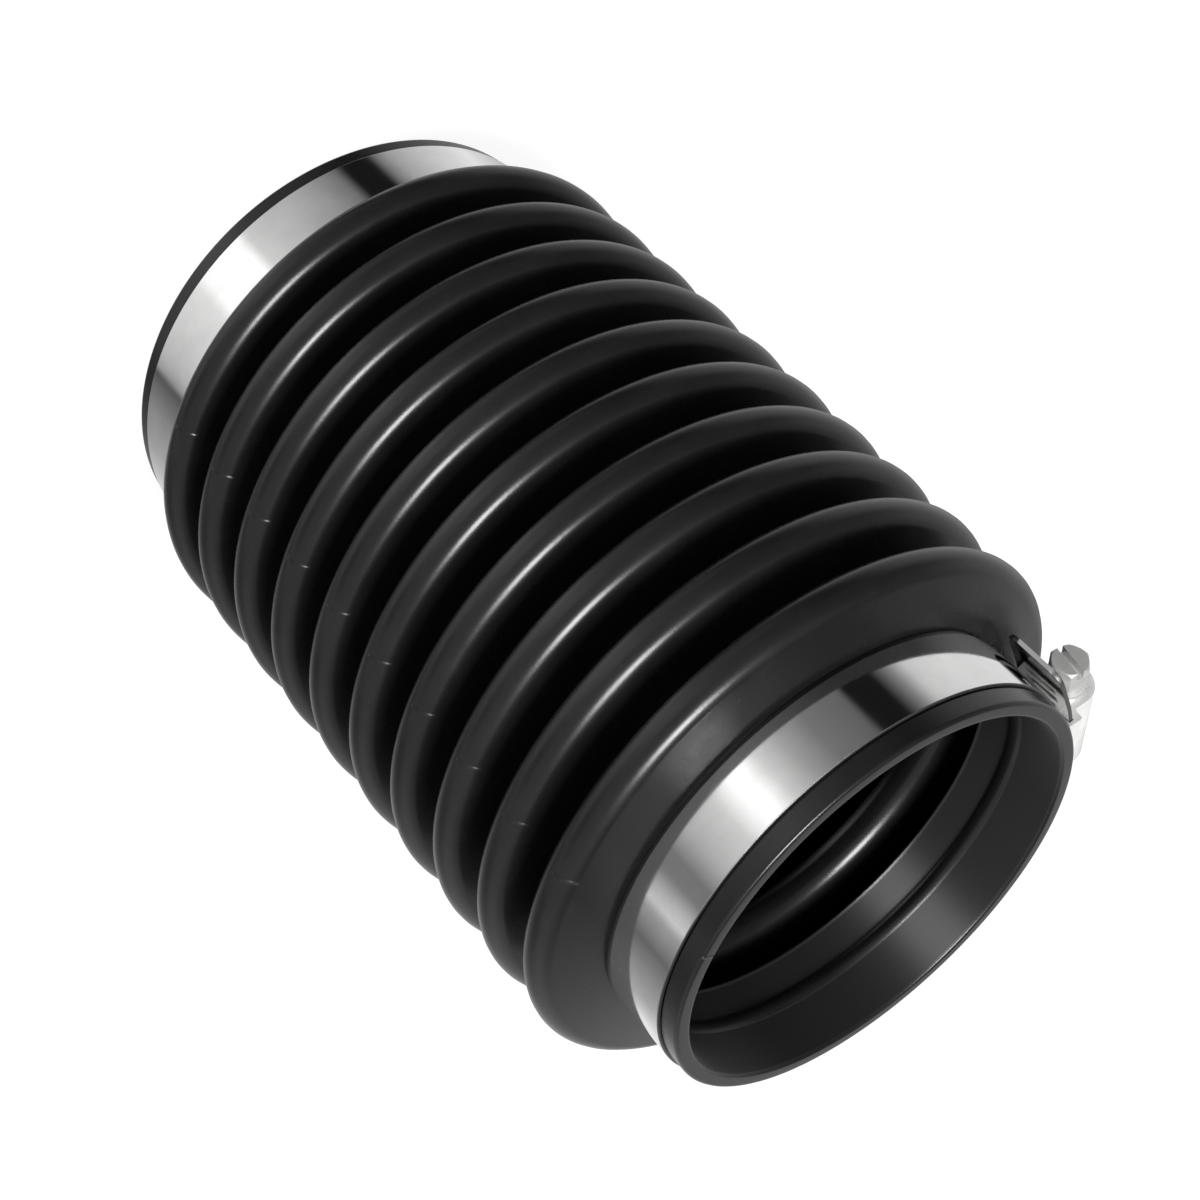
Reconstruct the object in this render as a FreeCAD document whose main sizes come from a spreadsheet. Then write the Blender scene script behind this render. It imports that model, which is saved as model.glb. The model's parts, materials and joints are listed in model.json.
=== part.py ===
# Rubber bellows boot with two worm drive hose clamps.
# The boot stands on its rear cuff. Its axis is Z, and the origin is where the axis meets the rear end face.
# Each clamp is drawn about its own Z axis with its screw housing on +X, then turned and lifted into place.
import FreeCAD, Part
import math
import os
import Sketcher

doc = FreeCAD.newDocument("bellows_boot")
sheet = doc.addObject("Spreadsheet::Sheet", "sizes")

# Driving dimensions, in millimetres and degrees
SIZES = [
    ("crest_radius", 55.0),
    ("root_radius", 41.8),
    ("wall", 2.2),
    ("crest_round", 3.4),
    ("root_round", 1.8),
    ("crest_count", 10),
    ("crest_pitch", 13.27),
    ("rear_bore_radius", 45.4),
    ("rear_cuff_wall", 2.55),
    ("rear_lip_rise", 0.45),
    ("rear_lip_height", 3.5),
    ("rear_seat_spare", 1.55),
    ("front_bore_radius", 39.4),
    ("front_cuff_wall", 2.7),
    ("front_lip_rise", 0.35),
    ("front_lip_height", 4.1),
    ("front_seat_spare", 0.1),
    ("bead_height", 0.8),
    ("bead_half_width", 2.4),
    ("bead_offset", 1.7),
    ("lip_edge_round", 0.6),
    ("seat_clearance", 0.1),
    ("band_width", 12.7),
    ("band_thickness", 0.8),
    ("band_lift", 2.05),
    ("band_overlap_angle", 13.0),
    ("ramp_round", 20.0),
    ("tail_bend_angle", 19.0),
    ("tail_length", 10.0),
    ("tail_corner_round", 2.5),
    ("slot_length", 7.6),
    ("slot_width", 1.75),
    ("slot_count", 24),
    ("thread_pitch", 3.18),
    ("thread_radius", 4.1),
    ("thread_depth", 0.95),
    ("thread_tip_width", 0.75),
    ("thread_engagement", 0.6),
    ("thread_length", 12.72),
    ("worm_length", 15.4),
    ("worm_clearance", 0.15),
    ("journal_clearance", 0.05),
    ("neck_radius", 2.8),
    ("pilot_radius", 2.0),
    ("collar_radius", 3.4),
    ("collar_thickness", 2.0),
    ("head_across_flats", 6.35),
    ("head_height", 4.5),
    ("head_chamfer", 0.5),
    ("front_head_turn", 100.0),
    ("rear_head_turn", 35.0),
    ("screw_slot_width", 1.2),
    ("screw_slot_depth", 1.8),
    ("sheet_thickness", 0.75),
    ("pressed_round", 0.6),
    ("housing_wall", 1.0),
    ("band_side_clearance", 0.1),
    ("running_gap", 0.1),
    ("front_clamp_azimuth", 156.0),
    ("rear_clamp_azimuth", 100.0),
]
for row, (alias, number) in enumerate(SIZES, start=1):
    sheet.set(f"A{row}", alias)
    sheet.set(f"B{row}", str(number))
    sheet.setAlias(f"B{row}", alias)
doc.recompute()


def cell(alias):
    """The expression text that reads one cell of the sheet."""
    return f"sizes.{alias}"


def number(expression):
    """The value of an expression, as a plain number."""
    result = sheet.evalExpression(expression.replace("sizes.", ""))
    return float(getattr(result, "Value", result))


# Helpers for bodies and sketches
def new_body(label):
    body = doc.addObject("PartDesign::Body", label)
    body.Label = label
    return body


def origin_feature(body, role):
    for feature in body.Origin.OriginFeatures:
        if feature.Role == role:
            return feature
    raise ValueError(role)


def new_sketch(body, name, plane):
    sketch = body.newObject("Sketcher::SketchObject", name)
    sketch.AttachmentSupport = [(origin_feature(body, plane), "")]
    sketch.MapMode = "FlatFace"
    return sketch


def bind(sketch, constraint, expression):
    """Add a dimension to a sketch and tie it to the sheet."""
    index = sketch.addConstraint(constraint)
    sketch.setExpression(f"Constraints[{index}]", expression)


def draw_outline(sketch, corners, arcs):
    """Draw a closed outline. corners holds (x, y) expressions. arcs gives, for the side that starts at
    a corner, the expressions of its centre and radius, and whether it runs anticlockwise."""
    points = [FreeCAD.Vector(number(x), number(y), 0) for x, y in corners]
    ends = []
    for i, start in enumerate(points):
        finish = points[(i + 1) % len(points)]
        if i not in arcs:
            side = sketch.addGeometry(Part.LineSegment(start, finish), False)
            ends.append((side, 1, 2))
            continue
        centre_x, centre_y, radius, anticlockwise = arcs[i]
        centre = FreeCAD.Vector(number(centre_x), number(centre_y), 0)
        first, last = (start, finish) if anticlockwise else (finish, start)
        begin_angle = math.atan2(first.y - centre.y, first.x - centre.x)
        end_angle = math.atan2(last.y - centre.y, last.x - centre.x)
        if end_angle <= begin_angle:
            end_angle += 2 * math.pi
        circle = Part.Circle(centre, FreeCAD.Vector(0, 0, 1), number(radius))
        side = sketch.addGeometry(Part.ArcOfCircle(circle, begin_angle, end_angle), False)
        ends.append((side, 1, 2) if anticlockwise else (side, 2, 1))
        chord = finish - start
        if abs(chord.y) > abs(chord.x):
            bind(sketch, Sketcher.Constraint("DistanceX", -1, 1, side, 3, centre.x), centre_x)
        else:
            bind(sketch, Sketcher.Constraint("DistanceY", -1, 1, side, 3, centre.y), centre_y)
    for i, (side, begin, end) in enumerate(ends):
        following, next_begin, _ = ends[(i + 1) % len(ends)]
        sketch.addConstraint(Sketcher.Constraint("Coincident", side, end, following, next_begin))
    for (side, begin, _), (x, y) in zip(ends, corners):
        bind(sketch, Sketcher.Constraint("DistanceX", -1, 1, side, begin, number(x)), x)
        bind(sketch, Sketcher.Constraint("DistanceY", -1, 1, side, begin, number(y)), y)


def revolve(body, sketch, kind="PartDesign::Revolution", axis="V_Axis"):
    feature = body.newObject(kind, f"{sketch.Name}_turned")
    feature.Profile = sketch
    feature.ReferenceAxis = (sketch, [axis])
    feature.Angle = 360
    doc.recompute()
    return feature


def circular_edges(shape, radius, height):
    """Names of the full circles about Z with this radius at this height."""
    names = []
    for i, edge in enumerate(shape.Edges, start=1):
        curve = edge.Curve
        if not isinstance(curve, Part.Circle):
            continue
        same_radius = abs(curve.Radius - radius) < 0.01
        same_height = abs(edge.CenterOfMass.z - height) < 0.01
        if same_radius and same_height:
            names.append(f"Edge{i}")
    return names


def round_edges(body, name, edges, radius):
    before = body.Tip
    fillet = body.newObject("PartDesign::Fillet", name)
    fillet.Base = (before, edges)
    fillet.setExpression("Radius", radius)
    doc.recompute()
    return fillet


# The moulded bellows: flanks touch both the crest arc and the root arc
CREST = cell("crest_radius")
CREST_ROUND = cell("crest_round")
ROOT_ROUND = cell("root_round")
WALL = cell("wall")
PITCH = cell("crest_pitch")
CREST_CENTRE = f"({CREST} - {CREST_ROUND})"
ROOT_CENTRE = f"({cell('root_radius')} + {ROOT_ROUND})"
DROP = f"({CREST_CENTRE} - {ROOT_CENTRE})"
ARC_SUM = f"({CREST_ROUND} + {ROOT_ROUND})"
LEAN = f"(atan({DROP} / ({PITCH} / 2)) + asin({ARC_SUM} / sqrt({DROP}^2 + ({PITCH} / 2)^2)))"
INNER_ROOT_ROUND = f"({ROOT_ROUND} + {WALL})"
INNER_CREST = f"({CREST} - {WALL})"
INNER_CREST_LAND = f"(({CREST_ROUND} - {WALL}) * tan({LEAN} / 2))"


def seat_radius(name):
    """Outside radius of a cuff where the clamp sits."""
    return f"({cell(f'{name}_bore_radius')} + {cell(f'{name}_cuff_wall')})"


def lip_radius(name):
    return f"({seat_radius(name)} + {cell(f'{name}_lip_rise')})"


def shoulder_rise(name):
    """Height along the axis from a crest to the foot of its shoulder on a cuff's seat."""
    touch_r = f"({CREST_CENTRE} + {CREST_ROUND} * cos({LEAN}))"
    return f"({CREST_ROUND} * sin({LEAN}) + ({touch_r} - {seat_radius(name)}) / tan({LEAN}))"


# Heights from the rear end face: each seat is as wide as its clamp's housing, with some room to spare
HALF_BAND = f"({cell('band_width')} / 2)"
HOUSING_SIDE = f"({HALF_BAND} + {cell('band_side_clearance')} + {cell('sheet_thickness')})"
REAR_CLAMP_HEIGHT = f"({cell('rear_lip_height')} + {cell('seat_clearance')} + {HALF_BAND})"
REAR_FOOT = f"({REAR_CLAMP_HEIGHT} + {HOUSING_SIDE} + {cell('rear_seat_spare')})"
FIRST = f"({REAR_FOOT} + {shoulder_rise('rear')})"
LAST = f"({FIRST} + ({cell('crest_count')} - 1) * {PITCH})"
FRONT_FOOT = f"({LAST} + {shoulder_rise('front')})"
FRONT_CLAMP_HEIGHT = f"({FRONT_FOOT} + {cell('front_seat_spare')} + {HOUSING_SIDE})"
BOOT_LENGTH = f"({FRONT_CLAMP_HEIGHT} + {HALF_BAND} + {cell('seat_clearance')} + {cell('front_lip_height')})"


def flank_corner(centre_r, centre_z, radius, side):
    """Where a flank touches an arc. side is 1 above the centre and -1 below it, or the same with the
    radius negative for a root arc, which the flank touches on its hollow side."""
    return (f"{centre_r} + {radius} * cos({LEAN})", f"{centre_z} + {side} * {radius} * sin({LEAN})")


def valley_outline(base):
    """One valley from crest to crest, with its lower crest at the height base."""
    top = f"({base} + {PITCH})"
    middle = f"({base} + {PITCH} / 2)"
    corners = [
        (CREST, base),
        flank_corner(CREST_CENTRE, base, CREST_ROUND, 1),
        flank_corner(ROOT_CENTRE, middle, f"(-{ROOT_ROUND})", 1),
        flank_corner(ROOT_CENTRE, middle, f"(-{ROOT_ROUND})", -1),
        flank_corner(CREST_CENTRE, top, CREST_ROUND, -1),
        (CREST, top),
        (INNER_CREST, top),
        (INNER_CREST, f"{top} - {INNER_CREST_LAND}"),
        flank_corner(ROOT_CENTRE, middle, f"(-{INNER_ROOT_ROUND})", -1),
        flank_corner(ROOT_CENTRE, middle, f"(-{INNER_ROOT_ROUND})", 1),
        (INNER_CREST, f"{base} + {INNER_CREST_LAND}"),
        (INNER_CREST, base),
    ]
    arcs = {
        0: (CREST_CENTRE, base, CREST_ROUND, True),
        2: (ROOT_CENTRE, middle, ROOT_ROUND, False),
        4: (CREST_CENTRE, top, CREST_ROUND, True),
        8: (ROOT_CENTRE, middle, INNER_ROOT_ROUND, True),
    }
    return corners, arcs


def cuff_outline(crest_height, way, foot, end_height, name, bead_height):
    """A cuff from its end face to the nearest crest. way is 1 where the cuff lies above the crest."""
    seat = seat_radius(name)
    lip = lip_radius(name)
    bore = cell(f"{name}_bore_radius")
    lip_step = f"({end_height} - {way} * {cell(f'{name}_lip_height')})"
    touch_r, touch_z = flank_corner(CREST_CENTRE, crest_height, CREST_ROUND, way)
    land_end = f"({crest_height} + {way} * {INNER_CREST_LAND})"
    bore_foot = f"({land_end} + {way} * ({INNER_CREST} - {bore}) / tan({LEAN}))"
    half = cell("bead_half_width")
    height = cell("bead_height")
    bead_round = f"(({half}^2 + {height}^2) / (2 * {height}))"
    corners = [
        (CREST, crest_height),
        (touch_r, touch_z),
        (seat, foot),
        (seat, lip_step),
        (lip, lip_step),
        (lip, end_height),
        (bore, end_height),
        (bore, f"{bead_height} + {way} * {half}"),
        (bore, f"{bead_height} - {way} * {half}"),
        (bore, bore_foot),
        (INNER_CREST, land_end),
        (INNER_CREST, crest_height),
    ]
    arcs = {
        0: (CREST_CENTRE, crest_height, CREST_ROUND, way > 0),
        7: (f"{bore} - {height} + {bead_round}", bead_height, bead_round, way > 0),
    }
    return corners, arcs


def make_boot():
    body = new_body("rubber_bellows")

    valley = new_sketch(body, "valley_section", "XZ_Plane")
    draw_outline(valley, *valley_outline(FIRST))
    valley_ring = revolve(body, valley)

    pattern = body.newObject("PartDesign::LinearPattern", "valleys")
    pattern.Originals = [valley_ring]
    pattern.Direction = (origin_feature(body, "Z_Axis"), [""])
    pattern.setExpression("Occurrences", f"{cell('crest_count')} - 1")
    pattern.setExpression("Length", f"({cell('crest_count')} - 2) * {PITCH}")
    body.Tip = pattern
    doc.recompute()

    rear = new_sketch(body, "rear_cuff_section", "XZ_Plane")
    rear_bead = f"({REAR_CLAMP_HEIGHT} + {cell('bead_offset')})"
    draw_outline(rear, *cuff_outline(FIRST, -1, REAR_FOOT, "0", "rear", rear_bead))
    revolve(body, rear)

    front = new_sketch(body, "front_cuff_section", "XZ_Plane")
    front_bead = f"({FRONT_CLAMP_HEIGHT} - {cell('bead_offset')})"
    draw_outline(front, *cuff_outline(LAST, 1, FRONT_FOOT, BOOT_LENGTH, "front", front_bead))
    revolve(body, front)

    length = number(BOOT_LENGTH)
    lip_edges = circular_edges(body.Shape, number(lip_radius("front")), length)
    lip_edges += circular_edges(body.Shape, number(cell("front_bore_radius")), length)
    lip_edges += circular_edges(body.Shape, number(lip_radius("rear")), 0)
    round_edges(body, "lip_edges_rounded", lip_edges, cell("lip_edge_round"))
    return body


# The clamp's own radii, counted from the boot's axis
def band_radius(name):
    return f"({seat_radius(name)} + {cell('seat_clearance')})"


def free_end_radius(name):
    return f"({band_radius(name)} + {cell('band_thickness')} + {cell('band_lift')})"


def screw_radius(name):
    return (
        f"({free_end_radius(name)} + {cell('band_thickness')} - {cell('thread_engagement')}"
        f" + {cell('thread_radius')})"
    )


def band_outline(name):
    """The band seen along the boot's axis: one turn on the cuff, a ramp, and the free end on top of it."""
    inner = band_radius(name)
    thick = cell("band_thickness")
    free = free_end_radius(name)
    bend = cell("ramp_round")
    ramp = f"(acos(({inner} - {bend}) / ({free} - {bend})))"
    overlap_end = f"(0deg - {cell('band_overlap_angle')} * 1deg)"
    ramp_start = f"({overlap_end} - {ramp})"
    tail = f"({cell('tail_bend_angle')} * 1deg)"
    run = f"(({free} - {bend}) * sin({ramp}))"

    def polar(radius, angle):
        return (f"{radius} * cos({angle})", f"{radius} * sin({angle})")

    def along(radius, angle, distance):
        x, y = polar(radius, angle)
        return (f"{x} - {distance} * sin({angle})", f"{y} + {distance} * cos({angle})")

    inner_out = f"({inner} + {thick})"
    free_out = f"({free} + {thick})"
    bend_out = f"({bend} + {thick})"
    centre_x, centre_y = polar(f"({free} - {bend})", overlap_end)
    corners = [
        polar(inner, overlap_end),
        polar(inner, ramp_start),
        along(inner, ramp_start, run),
        polar(free, overlap_end),
        polar(free, tail),
        along(free, tail, cell("tail_length")),
        along(free_out, tail, cell("tail_length")),
        polar(free_out, tail),
        polar(free_out, overlap_end),
        along(inner_out, ramp_start, run),
        polar(inner_out, ramp_start),
        polar(inner_out, overlap_end),
    ]
    arcs = {
        0: ("0", "0", inner, True),
        2: (centre_x, centre_y, bend, True),
        3: ("0", "0", free, True),
        7: ("0", "0", free_out, False),
        8: (centre_x, centre_y, bend_out, False),
        10: ("0", "0", inner_out, False),
    }
    return corners, arcs


def slot_places(name):
    """A placement for each slot of the free end, a thread pitch apart along the band."""
    inner = number(band_radius(name))
    free = number(free_end_radius(name))
    bend = number(cell("ramp_round"))
    thick = number(cell("band_thickness"))
    pitch = number(cell("thread_pitch"))
    arc_end = math.radians(number(cell("tail_bend_angle")))
    arc_start = -math.radians(number(cell("band_overlap_angle")))
    turn = math.acos((inner - bend) / (free - bend))
    run = (free - bend) * math.sin(turn)
    step = pitch / (free + thick)
    spare = number(cell("tail_corner_round"))
    steps_ahead = int(arc_end // step)
    left_over = arc_end - steps_ahead * step
    tail_slots = int((number(cell("tail_length")) - spare - left_over * free) // pitch)
    places = []
    last_slot = steps_ahead + tail_slots
    for i in range(int(number(cell("slot_count")))):
        angle = (last_slot - i) * step
        distance = 0.0
        centre_x, centre_y, radius = 0.0, 0.0, free
        if angle > arc_end:
            distance = (angle - arc_end) * (free + thick)
            angle = arc_end
        elif angle < arc_start:
            bend_turn = (arc_start - angle) * (free + thick) / (bend + thick)
            centre_x = (free - bend) * math.cos(arc_start)
            centre_y = (free - bend) * math.sin(arc_start)
            radius = bend
            angle = arc_start - bend_turn
            if bend_turn > turn:
                centre_x, centre_y, radius = 0.0, 0.0, inner
                past = (bend_turn - turn) * (bend + thick)
                angle = arc_start - turn
                distance = max(run - past, 0.0)
                angle -= max(past - run, 0.0) / (inner + thick)
        normal = FreeCAD.Vector(math.cos(angle), math.sin(angle), 0)
        tangent = FreeCAD.Vector(-math.sin(angle), math.cos(angle), 0)
        place = FreeCAD.Vector(centre_x, centre_y, 0) + normal * radius + tangent * distance
        turn_to_normal = FreeCAD.Rotation(FreeCAD.Vector(0, 0, 1), math.degrees(angle))
        places.append(FreeCAD.Placement(place, turn_to_normal))
    return places


def slot_cutters(name):
    """A bar for each slot, leaning by the thread's lead angle."""
    length = number(cell("slot_length"))
    width = number(cell("slot_width"))
    thick = number(cell("band_thickness"))
    mean_radius = number(cell("thread_radius")) - number(cell("thread_depth")) / 2
    lead = math.degrees(math.atan(number(cell("thread_pitch")) / (2 * math.pi * mean_radius)))
    bars = []
    for place in slot_places(name):
        bar = Part.makeBox(2 * thick, width, length, FreeCAD.Vector(-thick / 2, -width / 2, -length / 2))
        bar.rotate(FreeCAD.Vector(0, 0, 0), FreeCAD.Vector(1, 0, 0), -lead)
        bar.Placement = place.multiply(bar.Placement)
        bars.append(bar)
    return Part.makeCompound(bars)


def make_band(name):
    strip = new_body(f"{name}_clamp_strip")
    sketch = new_sketch(strip, f"{name}_band_outline", "XY_Plane")
    draw_outline(sketch, *band_outline(name))
    pad = strip.newObject("PartDesign::Pad", f"{name}_band_pad")
    pad.Profile = sketch
    pad.Midplane = True
    pad.setExpression("Length", cell("band_width"))
    doc.recompute()

    tail_angle = math.radians(number(cell("tail_bend_angle")))
    tip_distance = number(cell("tail_length"))
    tip_radius = number(free_end_radius(name)) + number(cell("band_thickness")) / 2
    tip = FreeCAD.Vector(
        tip_radius * math.cos(tail_angle) - tip_distance * math.sin(tail_angle),
        tip_radius * math.sin(tail_angle) + tip_distance * math.cos(tail_angle),
        0,
    )
    tip_edges = []
    for i, edge in enumerate(strip.Shape.Edges, start=1):
        middle = edge.CenterOfMass
        level = FreeCAD.Vector(middle.x, middle.y, 0)
        if level.distanceToPoint(tip) < 0.05 and abs(middle.z) > 1:
            tip_edges.append(f"Edge{i}")
    round_edges(strip, f"{name}_tail_rounded", tip_edges, cell("tail_corner_round"))

    slots = doc.addObject("Part::Feature", f"{name}_band_slots")
    slots.Shape = slot_cutters(name)
    band = doc.addObject("Part::Cut", f"{name}_clamp_band")
    band.Label = f"{name}_clamp_band"
    band.Base = strip
    band.Tool = slots
    doc.recompute()
    return band


# Places along the screw, counted from the middle of its worm towards the head
WORM_HALF = f"({cell('worm_length')} / 2)"
HOUSING_HALF = f"({WORM_HALF} + {cell('running_gap')} + {cell('housing_wall')})"
COLLAR_BACK = f"({HOUSING_HALF} + {cell('running_gap')})"
HEAD_BACK = f"({COLLAR_BACK} + {cell('collar_thickness')})"
HEAD_END = f"({HEAD_BACK} + {cell('head_height')})"


def stepped_outline(axis, stations, end):
    """Half the section of a turned form: each station gives where a radius begins."""
    corners = [(axis, stations[0][0])]
    for i, (station, radius) in enumerate(stations):
        following = stations[i + 1][0] if i + 1 < len(stations) else end
        corners.append((f"{axis} + {radius}", station))
        corners.append((f"{axis} + {radius}", following))
    corners.append((axis, end))
    return corners


def add_screw_axis(sketch, axis):
    """A construction line along the screw's axis, for turning and for the thread."""
    ends = [FreeCAD.Vector(number(axis), y, 0) for y in (-1, 1)]
    line = sketch.addGeometry(Part.LineSegment(*ends), True)
    sketch.addConstraint(Sketcher.Constraint("Vertical", line))
    bind(sketch, Sketcher.Constraint("DistanceX", -1, 1, line, 1, number(axis)), axis)


def sketch_across_screw(body, name, station):
    """A sketch square to the screw's axis, at a station along it."""
    sketch = new_sketch(body, name, "XZ_Plane")
    sketch.setExpression("AttachmentOffset.Base.z", f"0 - {station}")
    return sketch


def turned_corner(axis, radius, angle):
    return (f"{axis} + {radius} * cos({angle})", f"{radius} * sin({angle})")


def make_screw(name):
    body = new_body(f"{name}_clamp_screw")
    axis = screw_radius(name)
    core = f"({cell('thread_radius')} - {cell('thread_depth')})"
    shank = new_sketch(body, f"{name}_shank_section", "XY_Plane")
    stations = [
        (f"(0 - {HOUSING_HALF})", cell("pilot_radius")),
        (f"(0 - {WORM_HALF})", core),
        (WORM_HALF, cell("neck_radius")),
        (COLLAR_BACK, cell("collar_radius")),
    ]
    draw_outline(shank, stepped_outline(axis, stations, HEAD_BACK), {})
    add_screw_axis(shank, axis)
    revolve(body, shank, axis="Axis0")

    turn = cell(f"{name}_head_turn")
    corner_radius = f"({cell('head_across_flats')} / 2 / cos(30deg))"
    hexagon = sketch_across_screw(body, f"{name}_head_outline", HEAD_END)
    draw_outline(hexagon, [
        turned_corner(axis, corner_radius, f"({turn} + {30 + 60 * i}) * 1deg") for i in range(6)
    ], {})
    head = body.newObject("PartDesign::Pad", f"{name}_head")
    head.Profile = hexagon
    head.setExpression("Length", cell("head_height"))
    doc.recompute()

    chamfer = new_sketch(body, f"{name}_head_chamfer_section", "XY_Plane")
    flat = f"({cell('head_across_flats')} / 2)"
    draw_outline(chamfer, [
        (f"{axis} + {flat}", f"{HEAD_END} + {cell('running_gap')}"),
        (f"{axis} + {flat}", HEAD_END),
        (f"{axis} + {corner_radius} + {cell('running_gap')}", f"{HEAD_END} - {cell('head_chamfer')}"),
        (f"{axis} + {corner_radius} + {cell('running_gap')}", f"{HEAD_END} + {cell('running_gap')}"),
    ], {})
    add_screw_axis(chamfer, axis)
    revolve(body, chamfer, kind="PartDesign::Groove", axis="Axis0")

    slot = sketch_across_screw(body, f"{name}_driver_slot_outline", HEAD_END)
    reach = cell("head_across_flats")
    half = f"({cell('screw_slot_width')} / 2)"
    slot_corners = []
    for along, across in ((-1, -1), (1, -1), (1, 1), (-1, 1)):
        slot_corners.append((
            f"{axis} + {along} * {reach} * cos({turn} * 1deg) - {across} * {half} * sin({turn} * 1deg)",
            f"{along} * {reach} * sin({turn} * 1deg) + {across} * {half} * cos({turn} * 1deg)",
        ))
    draw_outline(slot, slot_corners, {})
    volume_before = body.Shape.Volume
    cut = body.newObject("PartDesign::Pocket", f"{name}_driver_slot")
    cut.Profile = slot
    cut.Reversed = True
    cut.setExpression("Length", cell("screw_slot_depth"))
    doc.recompute()
    assert body.Shape.Volume < volume_before, "the driver slot cuts nothing"

    thread = new_sketch(body, f"{name}_thread_section", "XY_Plane")
    start = f"({cell('thread_length')} / 2)"
    tip = cell("thread_tip_width")
    sunk = cell("running_gap")
    foot = f"({tip} + {cell('thread_depth')})"
    draw_outline(thread, [
        (f"{axis} - {core} + {sunk}", f"0 - {start} - {foot} / 2"),
        (f"{axis} - {core} + {sunk}", f"0 - {start} + {foot} / 2"),
        (f"{axis} - {cell('thread_radius')}", f"0 - {start} + {tip} / 2"),
        (f"{axis} - {cell('thread_radius')}", f"0 - {start} - {tip} / 2"),
    ], {})
    add_screw_axis(thread, axis)
    helix = body.newObject("PartDesign::AdditiveHelix", f"{name}_worm_thread")
    helix.Profile = thread
    helix.ReferenceAxis = (thread, ["Axis0"])
    helix.Mode = "pitch-height-angle"
    helix.setExpression("Pitch", cell("thread_pitch"))
    helix.setExpression("Height", cell("thread_length"))
    doc.recompute()
    return body


def make_housing(name):
    body = new_body(f"{name}_clamp_housing")
    axis = screw_radius(name)
    metal = cell("sheet_thickness")
    band_top = f"({free_end_radius(name)} + {cell('band_thickness')})"
    wing_foot = f"({lip_radius(name)} + {cell('running_gap')})"
    arch = f"({cell('thread_radius')} + {cell('worm_clearance')} + {metal})"
    shoulder = f"({band_top} + {metal})"

    section = new_sketch(body, f"{name}_housing_section", "XZ_Plane")
    draw_outline(section, [
        (wing_foot, f"0 - {HOUSING_SIDE}"),
        (shoulder, f"0 - {HOUSING_SIDE}"),
        (shoulder, f"0 - {arch}"),
        (axis, f"0 - {arch}"),
        (axis, arch),
        (shoulder, arch),
        (shoulder, HOUSING_SIDE),
        (wing_foot, HOUSING_SIDE),
    ], {3: (axis, "0", arch, True)})
    block = body.newObject("PartDesign::Pad", f"{name}_housing_block")
    block.Profile = section
    block.Midplane = True
    block.setExpression("Length", f"2 * {HOUSING_HALF}")
    doc.recompute()

    corner_edges = []
    for i, edge in enumerate(body.Shape.Edges, start=1):
        middle = edge.CenterOfMass
        at_shoulder = abs(middle.x - number(shoulder)) < 0.01
        if at_shoulder and abs(middle.y) < 0.01 and abs(edge.Length - 2 * number(HOUSING_HALF)) < 0.01:
            corner_edges.append(f"Edge{i}")
    round_edges(body, f"{name}_pressed_corners", corner_edges, cell("pressed_round"))

    def ring_pocket(title, inner_radius, outer_radius, length):
        sketch = new_sketch(body, f"{name}_{title}_outline", "XY_Plane")
        for radius in (inner_radius, outer_radius):
            if radius is None:
                continue
            circle = Part.Circle(FreeCAD.Vector(0, 0, 0), FreeCAD.Vector(0, 0, 1), number(radius))
            ring = sketch.addGeometry(circle, False)
            sketch.addConstraint(Sketcher.Constraint("Coincident", ring, 3, -1, 1))
            bind(sketch, Sketcher.Constraint("Radius", ring, number(radius)), radius)
        volume = body.Shape.Volume
        pocket = body.newObject("PartDesign::Pocket", f"{name}_{title}")
        pocket.Profile = sketch
        pocket.Midplane = True
        pocket.setExpression("Length", length)
        doc.recompute()
        assert body.Shape.Volume < volume, f"{title} cuts nothing"

    gap = cell("running_gap")
    ring_pocket("saddle", None, f"{band_radius(name)} + {cell('band_thickness')} + {gap}", f"4 * {HOUSING_SIDE}")
    channel = f"{cell('band_width')} + 2 * {cell('band_side_clearance')}"
    ring_pocket("band_channel", f"{free_end_radius(name)} - {gap}", f"{band_top} + {gap}", channel)

    bore = new_sketch(body, f"{name}_worm_bore_section", "XY_Plane")
    clear = cell("journal_clearance")
    stations = [
        (f"(0 - {HOUSING_HALF} - {gap})", f"({cell('pilot_radius')} + {clear})"),
        (f"(0 - {WORM_HALF} - {gap})", f"({cell('thread_radius')} + {cell('worm_clearance')})"),
        (f"({WORM_HALF} + {gap})", f"({cell('neck_radius')} + {clear})"),
    ]
    draw_outline(bore, stepped_outline(axis, stations, f"({HOUSING_HALF} + {gap})"), {})
    add_screw_axis(bore, axis)
    revolve(body, bore, kind="PartDesign::Groove", axis="Axis0")
    return body


# The whole boot with its clamps
boot = make_boot()
parts = [boot]
for clamp, clamp_height in (("front", FRONT_CLAMP_HEIGHT), ("rear", REAR_CLAMP_HEIGHT)):
    for piece in (make_band(clamp), make_housing(clamp), make_screw(clamp)):
        piece.setExpression("Placement.Rotation.Angle", f"{cell(f'{clamp}_clamp_azimuth')} * 1deg")
        piece.setExpression("Placement.Base.z", clamp_height)
        parts.append(piece)
doc.recompute()

# Checks, then one file for each piece
for item in doc.Objects:
    failed = "Invalid" in item.State or "Error" in item.State
    if failed:
        raise RuntimeError(f"{item.Name}: {item.getStatusString()}")
os.makedirs("parts", exist_ok=True)
for part in parts:
    shape = part.Shape
    if shape.isNull() or not shape.isValid() or len(shape.Solids) != 1:
        raise RuntimeError(f"{part.Label} is not one valid solid")
    shape.exportStep(f"parts/{part.Label}.step")
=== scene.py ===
# %% [markdown]
# # A rubber bellows boot and its two hose clamps
# The boot is one piece of moulded black rubber with ten convolutions and a plain cuff at each end.
# Each cuff is held by a slotted steel band, which a worm screw in a pressed housing pulls tight.
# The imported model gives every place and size. This script gives each piece its finish, and makes the
# rubber and the bands again with the soft edges that catch the light.

# %% The frame
import json
import math
import bmesh
import bpy
from mathutils import Matrix, Vector


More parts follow.
